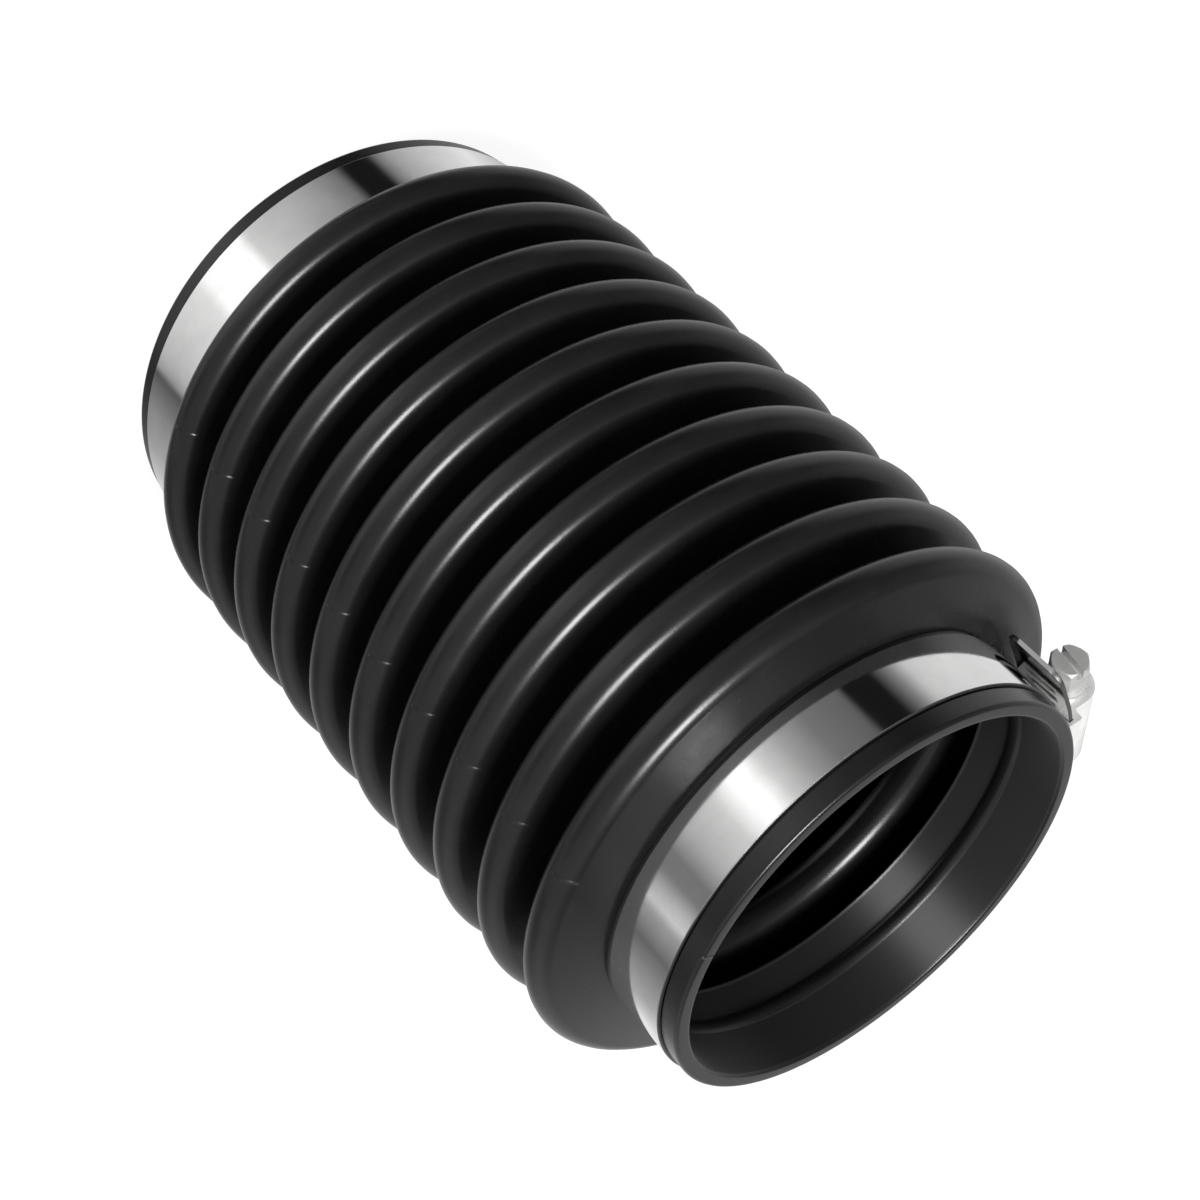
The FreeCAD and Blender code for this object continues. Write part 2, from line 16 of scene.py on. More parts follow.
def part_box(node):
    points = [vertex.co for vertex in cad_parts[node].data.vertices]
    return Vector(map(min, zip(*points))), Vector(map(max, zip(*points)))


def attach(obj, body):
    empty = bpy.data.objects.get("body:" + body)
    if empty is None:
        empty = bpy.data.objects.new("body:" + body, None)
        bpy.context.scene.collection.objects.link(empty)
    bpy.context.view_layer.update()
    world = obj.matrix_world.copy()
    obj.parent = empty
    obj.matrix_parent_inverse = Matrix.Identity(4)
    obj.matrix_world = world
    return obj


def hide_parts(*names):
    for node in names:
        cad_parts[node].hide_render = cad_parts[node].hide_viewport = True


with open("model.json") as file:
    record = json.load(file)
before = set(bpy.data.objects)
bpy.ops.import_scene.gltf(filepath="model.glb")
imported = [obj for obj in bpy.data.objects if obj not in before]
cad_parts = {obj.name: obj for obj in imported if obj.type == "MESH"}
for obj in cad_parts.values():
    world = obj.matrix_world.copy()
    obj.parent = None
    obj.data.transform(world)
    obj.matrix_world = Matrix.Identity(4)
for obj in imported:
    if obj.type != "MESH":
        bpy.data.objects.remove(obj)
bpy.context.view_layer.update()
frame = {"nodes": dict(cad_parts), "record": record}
bpy.context.scene.view_settings.view_transform = "Standard"
MM = 0.001

# %% [markdown]
# ## The camera
# A product photo like this is taken with a long lens from about 0.4 m. The camera looks down at the
# boot from its side and is rolled, so that the standing boot lies across the picture. The roll is
# part of the camera's turn, and a small pan and tilt place the boot in the frame.

# %% Camera
LENS = 64.76
CAMERA_DISTANCE = 398.1 * MM
CAMERA_ELEVATION = math.radians(32.49)
CAMERA_ROLL = math.radians(136.36)
CAMERA_PAN = math.radians(0.285)
CAMERA_TILT = math.radians(0.124)
AIM_POINT = Vector((0, 0, 82.5 * MM))


def add_camera():
    data = bpy.data.cameras.new("camera")
    data.lens = LENS
    camera = bpy.data.objects.new("camera", data)
    bpy.context.scene.collection.objects.link(camera)
    look_down = Matrix.Rotation(math.pi / 2 - CAMERA_ELEVATION, 4, "X")
    back = look_down @ Vector((0, 0, 1))
    turn = (
        look_down
        @ Matrix.Rotation(CAMERA_ROLL, 4, "Z")
        @ Matrix.Rotation(-CAMERA_PAN, 4, "Y")
        @ Matrix.Rotation(-CAMERA_TILT, 4, "X")
    )
    camera.matrix_world = Matrix.Translation(AIM_POINT + back * CAMERA_DISTANCE) @ turn
    bpy.context.scene.camera = camera
    return camera


photo_camera = add_camera()
print("camera at", [round(c, 3) for c in photo_camera.matrix_world.translation])

# %% [markdown]
# ## Sizes of the boot
# The overall sizes, the bores and the clamps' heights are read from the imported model, so the rubber
# made here fits the clamps. The shape of one convolution and the seats of the bands are written down.

# %% Sizes
boot_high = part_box("rubber_bellows")[1]
CREST_RADIUS = boot_high.x
BOOT_LENGTH = boot_high.z
ROOT_RADIUS = 41.8 * MM
WALL = 2.2 * MM
CREST_ROUND = 3.4 * MM
ROOT_ROUND = 1.8 * MM
CONVOLUTIONS = 10
PITCH = 13.27 * MM
FIRST_CREST = 22.77 * MM
LAST_CREST = FIRST_CREST + (CONVOLUTIONS - 1) * PITCH

mounts = {mount["name"]: mount for mount in frame["record"]["mounts"]}
REAR_BORE = mounts["rear_cuff_bore"]["dims"]["r_mm"] * MM
FRONT_BORE = mounts["front_cuff_bore"]["dims"]["r_mm"] * MM
REAR_SEAT = 47.95 * MM
FRONT_SEAT = 42.1 * MM
SEAT_CLEARANCE = 0.1 * MM
rear_band_low, rear_band_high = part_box("rear_clamp_band")
front_band_low, front_band_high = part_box("front_clamp_band")
print("convolutions from", round(FIRST_CREST / MM, 2), "to", round(LAST_CREST / MM, 2), "mm")

# %% [markdown]
# ## The section of the rubber
# A moulded bellows is a turned shape: one section, swept round the axis. The section is drawn as
# points (radius, height). Each crest and each root is an arc, and the straight flank between them
# touches both, so the lean of the flank follows from the two arcs.

# %% Drawing with arcs
half_pitch = PITCH / 2
drop = (CREST_RADIUS - CREST_ROUND) - (ROOT_RADIUS + ROOT_ROUND)
reach = math.hypot(drop, half_pitch)
LEAN = math.atan(drop / half_pitch) + math.asin((CREST_ROUND + ROOT_ROUND) / reach)
print("flank leans", round(math.degrees(LEAN), 1), "degrees from square to the axis")


def arc(centre, radius, begin, end, steps):
    """Points of an arc in the (radius, height) plane. Angles are counted from the outward direction."""
    points = []
    for step in range(steps + 1):
        angle = begin + (end - begin) * step / steps
        points.append((centre[0] + radius * math.cos(angle), centre[1] + radius * math.sin(angle)))
    return points


def fillet(before, corner, after, radius, steps=4):
    """Points that round the corner between two straight runs."""
    corner = Vector(corner)
    to_before = (Vector(before) - corner).normalized()
    to_after = (Vector(after) - corner).normalized()
    half = to_before.angle(to_after) / 2
    cut = radius / math.tan(half)
    centre = corner + (to_before + to_after).normalized() * radius / math.sin(half)
    first = corner + to_before * cut - centre
    last = corner + to_after * cut - centre
    begin = math.atan2(first.y, first.x)
    sweep = first.angle_signed(last)
    return [
        (centre.x + radius * math.cos(begin - sweep * i / steps),
         centre.y + radius * math.sin(begin - sweep * i / steps))
        for i in range(steps + 1)
    ]


# %% One convolution
CREST_STEPS = 6
INNER_CREST_STEPS = 3
ROOT_STEPS = 7


def outer_valley(base):
    """The outside of one valley, from the crest at the height base up to the next crest."""
    crest = (CREST_RADIUS - CREST_ROUND, base)
    root = (ROOT_RADIUS + ROOT_ROUND, base + half_pitch)
    next_crest = (CREST_RADIUS - CREST_ROUND, base + PITCH)
    points = arc(crest, CREST_ROUND, 0, LEAN, CREST_STEPS)
    points += arc(root, ROOT_ROUND, math.pi + LEAN, math.pi - LEAN, ROOT_STEPS)
    points += arc(next_crest, CREST_ROUND, -LEAN, 0, CREST_STEPS)
    return points


def inner_valley(base):
    """The inside of the same valley, drawn from the top down."""
    crest = (CREST_RADIUS - CREST_ROUND, base)
    root = (ROOT_RADIUS + ROOT_ROUND, base + half_pitch)
    next_crest = (CREST_RADIUS - CREST_ROUND, base + PITCH)
    points = arc(next_crest, CREST_ROUND - WALL, 0, -LEAN, INNER_CREST_STEPS)
    points += arc(root, ROOT_ROUND + WALL, math.pi - LEAN, math.pi + LEAN, ROOT_STEPS)
    points += arc(crest, CREST_ROUND - WALL, LEAN, 0, INNER_CREST_STEPS)
    return points


print("one valley has", len(outer_valley(0)) + len(inner_valley(0)), "points")

# %% [markdown]
# ## The cuffs
# Outside, a cuff has a seat for the band between the shoulder and a low lip. Inside, it has a raised
# bead that sits in a groove of the flange. Past the bead the bore ends in a sharp edge, where the
# core of the mould widens into the folds. The core's joint leaves a fine ridge of flash along that
# edge, which shows as a thin bright line.

# %% Cuff sections
SEAT_FOOT_ROUND = 1.0 * MM
LIP_ROUND = 0.7 * MM
BEAD_HEIGHT = 0.7 * MM
BEAD_HALF_WIDTH = 1.6 * MM
BEAD_STEPS = 6
FLASH_HEIGHT = 0.3 * MM
FLASH_WIDTH = 0.8 * MM


def cuff(crest_height, way, end_height, seat, lip, bore, lip_step, bead_height):
    """Half the section of a cuff, from the crest over the outside and back along the bore to the crest.
    way is 1 for the cuff above the crest and -1 for the one below it."""
    centre = (CREST_RADIUS - CREST_ROUND, crest_height)
    crest_arc = arc(centre, CREST_ROUND, 0, way * LEAN, CREST_STEPS)
    inner_arc = arc(centre, CREST_ROUND - WALL, way * LEAN, 0, INNER_CREST_STEPS)
    touch = Vector(crest_arc[-1])
    slope = way / math.tan(LEAN)
    foot = (seat, touch.y + (touch.x - seat) * slope)
    step = (seat, lip_step)
    bore_foot = (bore, inner_arc[0][1] + (inner_arc[0][0] - bore) * slope)
    points = crest_arc
    points += fillet(touch, foot, step, SEAT_FOOT_ROUND)
    points += [step, (lip, lip_step)]
    points += fillet((lip, lip_step), (lip, end_height), (bore, end_height), LIP_ROUND)
    points += fillet((lip, end_height), (bore, end_height), (bore, bead_height), LIP_ROUND)
    bead_round = (BEAD_HALF_WIDTH**2 + BEAD_HEIGHT**2) / (2 * BEAD_HEIGHT)
    bead_turn = way * math.asin(BEAD_HALF_WIDTH / bead_round)
    bead_centre = (bore - BEAD_HEIGHT + bead_round, bead_height)
    points += arc(bead_centre, bead_round, math.pi - bead_turn, math.pi + bead_turn, BEAD_STEPS)
    flash_top = bore_foot[1] + way * FLASH_WIDTH
    points += [(bore, flash_top), (bore - FLASH_HEIGHT, flash_top - way * FLASH_WIDTH / 2), bore_foot]
    points += inner_arc
    return points


LIP_GAP = 0.45 * MM
REAR_LIP_STEP = rear_band_low.z - LIP_GAP
FRONT_LIP_STEP = front_band_high.z + LIP_GAP
BEAD_OFFSET = 0.9 * MM
rear_middle = (rear_band_low.z + rear_band_high.z) / 2
front_middle = (front_band_low.z + front_band_high.z) / 2
REAR_LIP = 48.4 * MM
FRONT_LIP = 42.45 * MM
rear_cuff = cuff(
    FIRST_CREST, -1, 0, REAR_SEAT, REAR_LIP, REAR_BORE, REAR_LIP_STEP,
    rear_middle + BEAD_OFFSET,
)
front_cuff = cuff(
    LAST_CREST, 1, BOOT_LENGTH, FRONT_SEAT, FRONT_LIP, FRONT_BORE, FRONT_LIP_STEP,
    front_middle - BEAD_OFFSET,
)
print("cuff sections:", len(rear_cuff), "and", len(front_cuff), "points")

# %% [markdown]
# ## Node trees in code
# A node tree built in a script is a list of nodes and links. A few short helpers keep that readable:
# they make a tree with its named inputs, add a node, join two sockets, and do sums between sockets.

# %% Tree helpers
SOCKETS = {
    "int": "NodeSocketInt",
    "float": "NodeSocketFloat",
    "vector": "NodeSocketVector",
    "material": "NodeSocketMaterial",
    "geometry": "NodeSocketGeometry",
}


def new_tree(name, kind, inputs, outputs):
    """A node group with named sockets. Each input is (name, kind of socket, value or None)."""
    tree = bpy.data.node_groups.new(name, kind)
    for title, socket_kind, value in inputs:
        socket = tree.interface.new_socket(title, in_out="INPUT", socket_type=SOCKETS[socket_kind])
        if value is not None:
            socket.default_value = value
    for title, socket_kind in outputs:
        tree.interface.new_socket(title, in_out="OUTPUT", socket_type=SOCKETS[socket_kind])
    return tree


def add_node(tree, kind, values=None, **settings):
    """A node with its properties set by name and its input values by socket name or number."""
    node = tree.nodes.new(kind)
    for name, value in settings.items():
        setattr(node, name, value)
    for socket, value in (values or {}).items():
        node.inputs[socket].default_value = value
    return node


def join(tree, source, target, output=0, entry=0):
    tree.links.new(source.outputs[output], target.inputs[entry])


def combine(tree, operation, first, second=0.0):
    """One Math node between two sockets, or a socket and a number."""
    node = add_node(tree, "ShaderNodeMath", operation=operation)
    for entry, value in enumerate((first, second)):
        if isinstance(value, (int, float)):
            node.inputs[entry].default_value = value
        else:
            tree.links.new(value, node.inputs[entry])
    return node.outputs[0]


def spread(tree, value, low, high, start=0.0, end=1.0):
    """Carry a value that runs from start to end over to the range from low to high."""
    ramp = add_node(tree, "ShaderNodeMapRange", {
        "From Min": start, "From Max": end, "To Min": low, "To Max": high,
    })
    tree.links.new(value, ramp.inputs["Value"])
    return ramp.outputs["Result"]


def finish_tree(tree, last, material, finish):
    """End a tree in real geometry with its material."""
    real = add_node(tree, "GeometryNodeRealizeInstances")
    painted = add_node(tree, "GeometryNodeSetMaterial")
    join(tree, last, real)
    join(tree, real, painted)
    tree.links.new(material, painted.inputs["Material"])
    join(tree, painted, finish)


def run_tree(piece, tree, values):
    """Give a piece a Geometry Nodes modifier, with the tree's inputs set by name."""
    modifier = piece.modifiers.new(tree.name, "NODES")
    modifier.node_group = tree
    inputs = [item for item in tree.interface.items_tree
              if item.item_type == "SOCKET" and item.in_out == "INPUT"]
    identifiers = {item.name: item.identifier for item in inputs}
    for name, value in values.items():
        modifier[identifiers[name]] = value


# %% [markdown]
# ## Turning the section
# Geometry Nodes repeat the one valley along the axis and sweep the whole section round a circle. A
# sweep places the section's x outwards and its y down the axis, so the heights are drawn negative.
# Merging the doubled points closes the shell. A slow, shallow noise then moves the surface a little,
# because soft rubber is never quite round, and its highlights waver.

# %% The turning tree
PATH_RADIUS = 50 * MM
REPEATS = "repeats"
WAVER_SCALE = 28.0
MERGE_WITHIN = 0.002 * MM


def turning_tree():
    tree = new_tree("turned_bellows", "GeometryNodeTree", [
        ("Section", "geometry", None),
        ("Valleys", "int", CONVOLUTIONS - 1),
        ("Pitch", "float", PITCH),
        ("Segments", "int", 216),
        ("Waver", "float", 0.12 * MM),
        ("Seed", "float", 4.0),
        ("Material", "material", None),
    ], [("Rubber", "geometry")])
    start = add_node(tree, "NodeGroupInput")
    finish = add_node(tree, "NodeGroupOutput")
    names = {socket.name: socket for socket in start.outputs}

    flag = add_node(tree, "GeometryNodeInputNamedAttribute", {"Name": REPEATS}, data_type="FLOAT")
    split = add_node(tree, "GeometryNodeSeparateGeometry", domain="POINT")
    tree.links.new(names["Section"], split.inputs["Geometry"])
    tree.links.new(flag.outputs["Attribute"], split.inputs["Selection"])

    offset = add_node(tree, "ShaderNodeCombineXYZ")
    row = add_node(tree, "GeometryNodeMeshLine", mode="OFFSET")
    copies = add_node(tree, "GeometryNodeInstanceOnPoints")
    real = add_node(tree, "GeometryNodeRealizeInstances")
    tree.links.new(combine(tree, "MULTIPLY", names["Pitch"], -1.0), offset.inputs["Y"])
    tree.links.new(offset.outputs[0], row.inputs["Offset"])
    tree.links.new(names["Valleys"], row.inputs["Count"])
    tree.links.new(row.outputs["Mesh"], copies.inputs["Points"])
    tree.links.new(split.outputs["Selection"], copies.inputs["Instance"])
    join(tree, copies, real)

    whole = add_node(tree, "GeometryNodeJoinGeometry")
    tree.links.new(real.outputs[0], whole.inputs[0])
    tree.links.new(split.outputs["Inverted"], whole.inputs[0])
    outline = add_node(tree, "GeometryNodeMeshToCurve")
    circle = add_node(tree, "GeometryNodeCurvePrimitiveCircle", {"Radius": PATH_RADIUS})
    sweep = add_node(tree, "GeometryNodeCurveToMesh")
    join(tree, whole, outline)
    tree.links.new(names["Segments"], circle.inputs["Resolution"])
    tree.links.new(circle.outputs["Curve"], sweep.inputs["Curve"])
    tree.links.new(outline.outputs["Curve"], sweep.inputs["Profile Curve"])
    closed = add_node(tree, "GeometryNodeMergeByDistance", {"Distance": MERGE_WITHIN})
    join(tree, sweep, closed)

    noise = add_node(
        tree, "ShaderNodeTexNoise", {"Scale": WAVER_SCALE, "Detail": 1.0}, noise_dimensions="4D"
    )
    tree.links.new(names["Seed"], noise.inputs["W"])
    centred = combine(tree, "SUBTRACT", noise.outputs["Fac"], 0.5)
    normal = add_node(tree, "GeometryNodeInputNormal")
    push = add_node(tree, "ShaderNodeVectorMath", operation="SCALE")
    moved = add_node(tree, "GeometryNodeSetPosition")
    tree.links.new(normal.outputs[0], push.inputs[0])
    tree.links.new(combine(tree, "MULTIPLY", centred, names["Waver"]), push.inputs["Scale"])
    join(tree, closed, moved)
    tree.links.new(push.outputs[0], moved.inputs["Offset"])

    smooth = add_node(tree, "GeometryNodeSetShadeSmooth")
    join(tree, moved, smooth)
    finish_tree(tree, smooth, names["Material"], finish)
    return tree


TURNING = turning_tree()
print("turning tree:", len(TURNING.nodes), "nodes")

# %% [markdown]
# ## Shader groups
# Effects that several finishes share are node groups that put out only masks, colours or heights.
# The first follows an object round its axis, so that marks can run along the band or up the mould's
# parting line. The second gives smudges and the third fine scratches.

# %% Round the axis
def axis_group():
    """The angle from a zero line, the distance from the axis, and the surface rolled out flat."""
    tree = new_tree("around_the_axis", "ShaderNodeTree", [
        ("Zero Angle", "float", 0.0),
        ("Radius", "float", CREST_RADIUS),
    ], [("Angle", "float"), ("Reach", "float"), ("Unrolled", "vector")])
    start = add_node(tree, "NodeGroupInput")
    finish = add_node(tree, "NodeGroupOutput")
    place = add_node(tree, "ShaderNodeTexCoord")
    level = add_node(tree, "ShaderNodeVectorMath", {1: (1.0, 1.0, 0.0)}, operation="MULTIPLY")
    reach = add_node(tree, "ShaderNodeVectorMath", operation="LENGTH")
    join(tree, place, level, output="Object")
    join(tree, level, reach)
    tree.links.new(reach.outputs["Value"], finish.inputs["Reach"])

    turn = add_node(tree, "ShaderNodeVectorRotate", rotation_type="Z_AXIS")
    parts = add_node(tree, "ShaderNodeSeparateXYZ")
    unrolled = add_node(tree, "ShaderNodeCombineXYZ")
    tree.links.new(place.outputs["Object"], turn.inputs["Vector"])
    tree.links.new(combine(tree, "MULTIPLY", start.outputs["Zero Angle"], -1.0), turn.inputs["Angle"])
    tree.links.new(turn.outputs[0], parts.inputs[0])
    angle = combine(tree, "ARCTAN2", parts.outputs["Y"], parts.outputs["X"])
    around = combine(tree, "MULTIPLY", angle, start.outputs["Radius"])
    tree.links.new(around, unrolled.inputs["X"])
    tree.links.new(parts.outputs["Z"], unrolled.inputs["Y"])
    tree.links.new(angle, finish.inputs["Angle"])
    tree.links.new(unrolled.outputs[0], finish.inputs["Unrolled"])
    return tree


AROUND = axis_group()
print("group:", AROUND.name)


# %% Smudges and scratches
def smudge_group():
    """A soft cloudy mask from 0 to 1, with its size and how much of the surface it covers."""
    tree = new_tree("smudges", "ShaderNodeTree", [
        ("Vector", "vector", None),
        ("Scale", "float", 60.0),
        ("Cover", "float", 0.5),
        ("Softness", "float", 0.25),
    ], [("Mask", "float")])
    start = add_node(tree, "NodeGroupInput")
    finish = add_node(tree, "NodeGroupOutput")
    noise = add_node(tree, "ShaderNodeTexNoise", {"Detail": 4.0, "Roughness": 0.6})
    edge = combine(tree, "SUBTRACT", 1.0, start.outputs["Cover"])
    lower = combine(tree, "SUBTRACT", edge, start.outputs["Softness"])
    upper = combine(tree, "ADD", edge, start.outputs["Softness"])
    ramp = add_node(tree, "ShaderNodeMapRange", interpolation_type="SMOOTHSTEP")
    tree.links.new(start.outputs["Vector"], noise.inputs["Vector"])
    tree.links.new(start.outputs["Scale"], noise.inputs["Scale"])
    tree.links.new(noise.outputs["Fac"], ramp.inputs["Value"])
    tree.links.new(lower, ramp.inputs["From Min"])
    tree.links.new(upper, ramp.inputs["From Max"])
    tree.links.new(ramp.outputs["Result"], finish.inputs["Mask"])
    return tree


def grain_group():
    """Fine stretched grain, as a height from 0 to 1. Stretch gives the grain its direction."""
    tree = new_tree("fine_grain", "ShaderNodeTree", [
        ("Vector", "vector", None),
        ("Stretch", "vector", (1.0, 1.0, 1.0)),
        ("Scale", "float", 4000.0),
    ], [("Height", "float")])
    start = add_node(tree, "NodeGroupInput")
    finish = add_node(tree, "NodeGroupOutput")
    stretched = add_node(tree, "ShaderNodeVectorMath", operation="MULTIPLY")
    noise = add_node(tree, "ShaderNodeTexNoise", {"Detail": 2.0})
    tree.links.new(start.outputs["Vector"], stretched.inputs[0])
    tree.links.new(start.outputs["Stretch"], stretched.inputs[1])
    tree.links.new(stretched.outputs[0], noise.inputs["Vector"])
    tree.links.new(start.outputs["Scale"], noise.inputs["Scale"])
    tree.links.new(noise.outputs["Fac"], finish.inputs["Height"])
    return tree


SMUDGES = smudge_group()
GRAIN = grain_group()
print("groups:", SMUDGES.name, GRAIN.name)

# %% [markdown]
# ## Rubber
# Moulded chloroprene rubber is nearly black, with a soft skin sheen from the polished mould. Its
# colour varies only a little, where talc or bloom has dulled it. Where the two halves of the mould
# met, a short raised line is left on the upper side of each crest, and a nick on the rim. The line is
# too fine for the mesh, so it is a bump, held to the crests and the rim by masks. The bores keep the
# turning marks of the mould's core: there the rubber's gloss is duller, and its sheen is drawn out
# lengthways. Their base colour is also painted lighter, as painted light that brightens the bore walls.

# %% Rubber material
PARTING_ANGLE = math.radians(-53.0)
PARTING_HALF_WIDTH = math.radians(0.38)
PARTING_REACH = CREST_RADIUS - 3.6 * MM
PARTING_RIM = BOOT_LENGTH - 1.0 * MM
PARTING_BELOW_CREST = 0.03
PARTING_SHARE_OF_PITCH = 0.28
PARTING_HEIGHT = 0.12 * MM
SKIN_SHARE = 0.1
BORE_MARGIN = 0.1 * MM
POLISHED_RUBBER = (0.0078, 0.0078, 0.0081)
BLOOMED_RUBBER = (0.0105, 0.0105, 0.0108)
# painted light: a lighter base colour on the bore walls, which brightens them as light would
BORE_PAINTED_LIGHT_RUBBER = (0.019, 0.019, 0.0193)
SKIN_ROUGHNESS = (0.25, 0.31)
BORE_MORE_ROUGHNESS = 0.2
SHEEN_TURN = 0.25


def new_material(name):
    """A material with its Principled shader, ready for nodes."""
    material = bpy.data.materials.new(name)
    material.use_nodes = True
    shader = material.node_tree.nodes["Principled BSDF"]
    return material, material.node_tree, shader


def place_group(tree, group, values=None):
    node = add_node(tree, "ShaderNodeGroup", node_tree=group)
    for name, value in (values or {}).items():
        node.inputs[name].default_value = value
    return node


def mix_colours(tree, mask, first, second):
    mix = add_node(tree, "ShaderNodeMix", data_type="RGBA")
    mix.inputs["A"].default_value = (*first, 1.0)
    mix.inputs["B"].default_value = (*second, 1.0)
    tree.links.new(mask, mix.inputs["Factor"])
    return mix.outputs["Result"]


def height_on_axis(tree, around):
    parts = add_node(tree, "ShaderNodeSeparateXYZ")
    tree.links.new(around.outputs["Unrolled"], parts.inputs[0])
    return parts.outputs["Y"]


def parting_line(tree):
    """A mask that is 1 along the parting line, on the crests and on the rim."""
    around = place_group(tree, AROUND, {"Zero Angle": PARTING_ANGLE})
    height = height_on_axis(tree, around)
    off_line = combine(tree, "ABSOLUTE", around.outputs["Angle"])
    line = spread(tree, off_line, 1.0, 0.0, end=PARTING_HALF_WIDTH)
    far_out = combine(tree, "GREATER_THAN", around.outputs["Reach"], PARTING_REACH)
    pitches = combine(tree, "DIVIDE", combine(tree, "SUBTRACT", height, FIRST_CREST), PITCH)
    above_crest = combine(tree, "FRACT", combine(tree, "ADD", pitches, PARTING_BELOW_CREST))
    upper_side = combine(tree, "LESS_THAN", above_crest, PARTING_SHARE_OF_PITCH)
    on_crest = combine(tree, "MULTIPLY", far_out, upper_side)
    on_rim = combine(tree, "GREATER_THAN", height, PARTING_RIM)
    return combine(tree, "MULTIPLY", line, combine(tree, "MAXIMUM", on_crest, on_rim))


def in_the_bores(tree):
    """A mask that is 1 on the walls of the two bores, beside the bead and the flash."""
    around = place_group(tree, AROUND)
    height = height_on_axis(tree, around)
    walls = []
    for side, end, bore in (
        ("GREATER_THAN", LAST_CREST + CREST_ROUND, FRONT_BORE),
        ("LESS_THAN", FIRST_CREST - CREST_ROUND, REAR_BORE),
    ):
        in_cuff = combine(tree, side, height, end)
        off_wall = combine(tree, "SUBTRACT", around.outputs["Reach"], bore)
        near = combine(tree, "LESS_THAN", combine(tree, "ABSOLUTE", off_wall), BORE_MARGIN)
        walls.append(combine(tree, "MULTIPLY", in_cuff, near))
    return combine(tree, "MAXIMUM", walls[0], walls[1])


def rubber_material():
    material, tree, shader = new_material("moulded_rubber")
    place = add_node(tree, "ShaderNodeTexCoord")
    bloom = place_group(tree, SMUDGES, {"Scale": 55.0, "Cover": 0.45, "Softness": 0.2})
    tree.links.new(place.outputs["Object"], bloom.inputs["Vector"])
    bores = in_the_bores(tree)
    skin_colour = mix_colours(tree, bloom.outputs["Mask"], POLISHED_RUBBER, BLOOMED_RUBBER)
    # painted light: the base colour is lifted on the bore walls to brighten them
    colour = add_node(tree, "ShaderNodeMix", {"B": (*BORE_PAINTED_LIGHT_RUBBER, 1.0)}, data_type="RGBA")
    tree.links.new(bores, colour.inputs["Factor"])
    tree.links.new(skin_colour, colour.inputs["A"])
    tree.links.new(colour.outputs["Result"], shader.inputs["Base Color"])
    gloss = spread(tree, bloom.outputs["Mask"], *SKIN_ROUGHNESS)
    dulling = spread(tree, bores, 0.0, BORE_MORE_ROUGHNESS)
    tree.links.new(combine(tree, "ADD", gloss, dulling), shader.inputs["Roughness"])
    tree.links.new(spread(tree, bores, 0.0, 1.0), shader.inputs["Anisotropic"])
    tree.links.new(spread(tree, bores, 0.5, 1.0), shader.inputs["Specular IOR Level"])
    marks = add_node(tree, "ShaderNodeTangent", direction_type="RADIAL", axis="Z")
    tree.links.new(marks.outputs[0], shader.inputs["Tangent"])
    shader.inputs["Anisotropic Rotation"].default_value = SHEEN_TURN

    skin = place_group(tree, GRAIN, {"Scale": 2500.0})
    tree.links.new(place.outputs["Object"], skin.inputs["Vector"])
    skin_height = combine(tree, "MULTIPLY", skin.outputs["Height"], SKIN_SHARE)
    bump = add_node(tree, "ShaderNodeBump", {"Strength": 0.8, "Distance": PARTING_HEIGHT})
    tree.links.new(combine(tree, "ADD", skin_height, parting_line(tree)), bump.inputs["Height"])
    tree.links.new(bump.outputs["Normal"], shader.inputs["Normal"])
    shader.inputs["IOR"].default_value = 1.45
    return material


RUBBER = rubber_material()
print("material:", RUBBER.name)

# %% [markdown]
# ## Steel
# The bands are rolled strip: bright, with very fine lines along their length and cloudy marks from
# handling. The housing and the screw are dull with their zinc plating, which scatters light as a pale
# paint does. Cut edges are rough, and on the bands their colour is darkened as painted shade, for the
# dark line where a band meets the rubber. One function makes all three, each with its own colours,
# roughness and direction of grain.


# %% Steel materials
SHEARED_ROUGHNESS = 0.45
# painted shade: the dark colour given to the bands' cut edges, for the shadow line beside the rubber
CUT_EDGE_PAINTED_SHADE = (0.2, 0.2, 0.2)
SHEARED_LEAN = (0.15, 0.45)
GRAIN_HEIGHT = 0.01 * MM


def sheared_edges(tree):
    """A mask that is 1 where the steel faces along the axis, as the cut edges of a band do."""
    place = add_node(tree, "ShaderNodeTexCoord")
    parts = add_node(tree, "ShaderNodeSeparateXYZ")
    tree.links.new(place.outputs["Normal"], parts.inputs[0])
    return spread(tree, combine(tree, "ABSOLUTE", parts.outputs["Z"]), 0.0, 1.0, *SHEARED_LEAN)


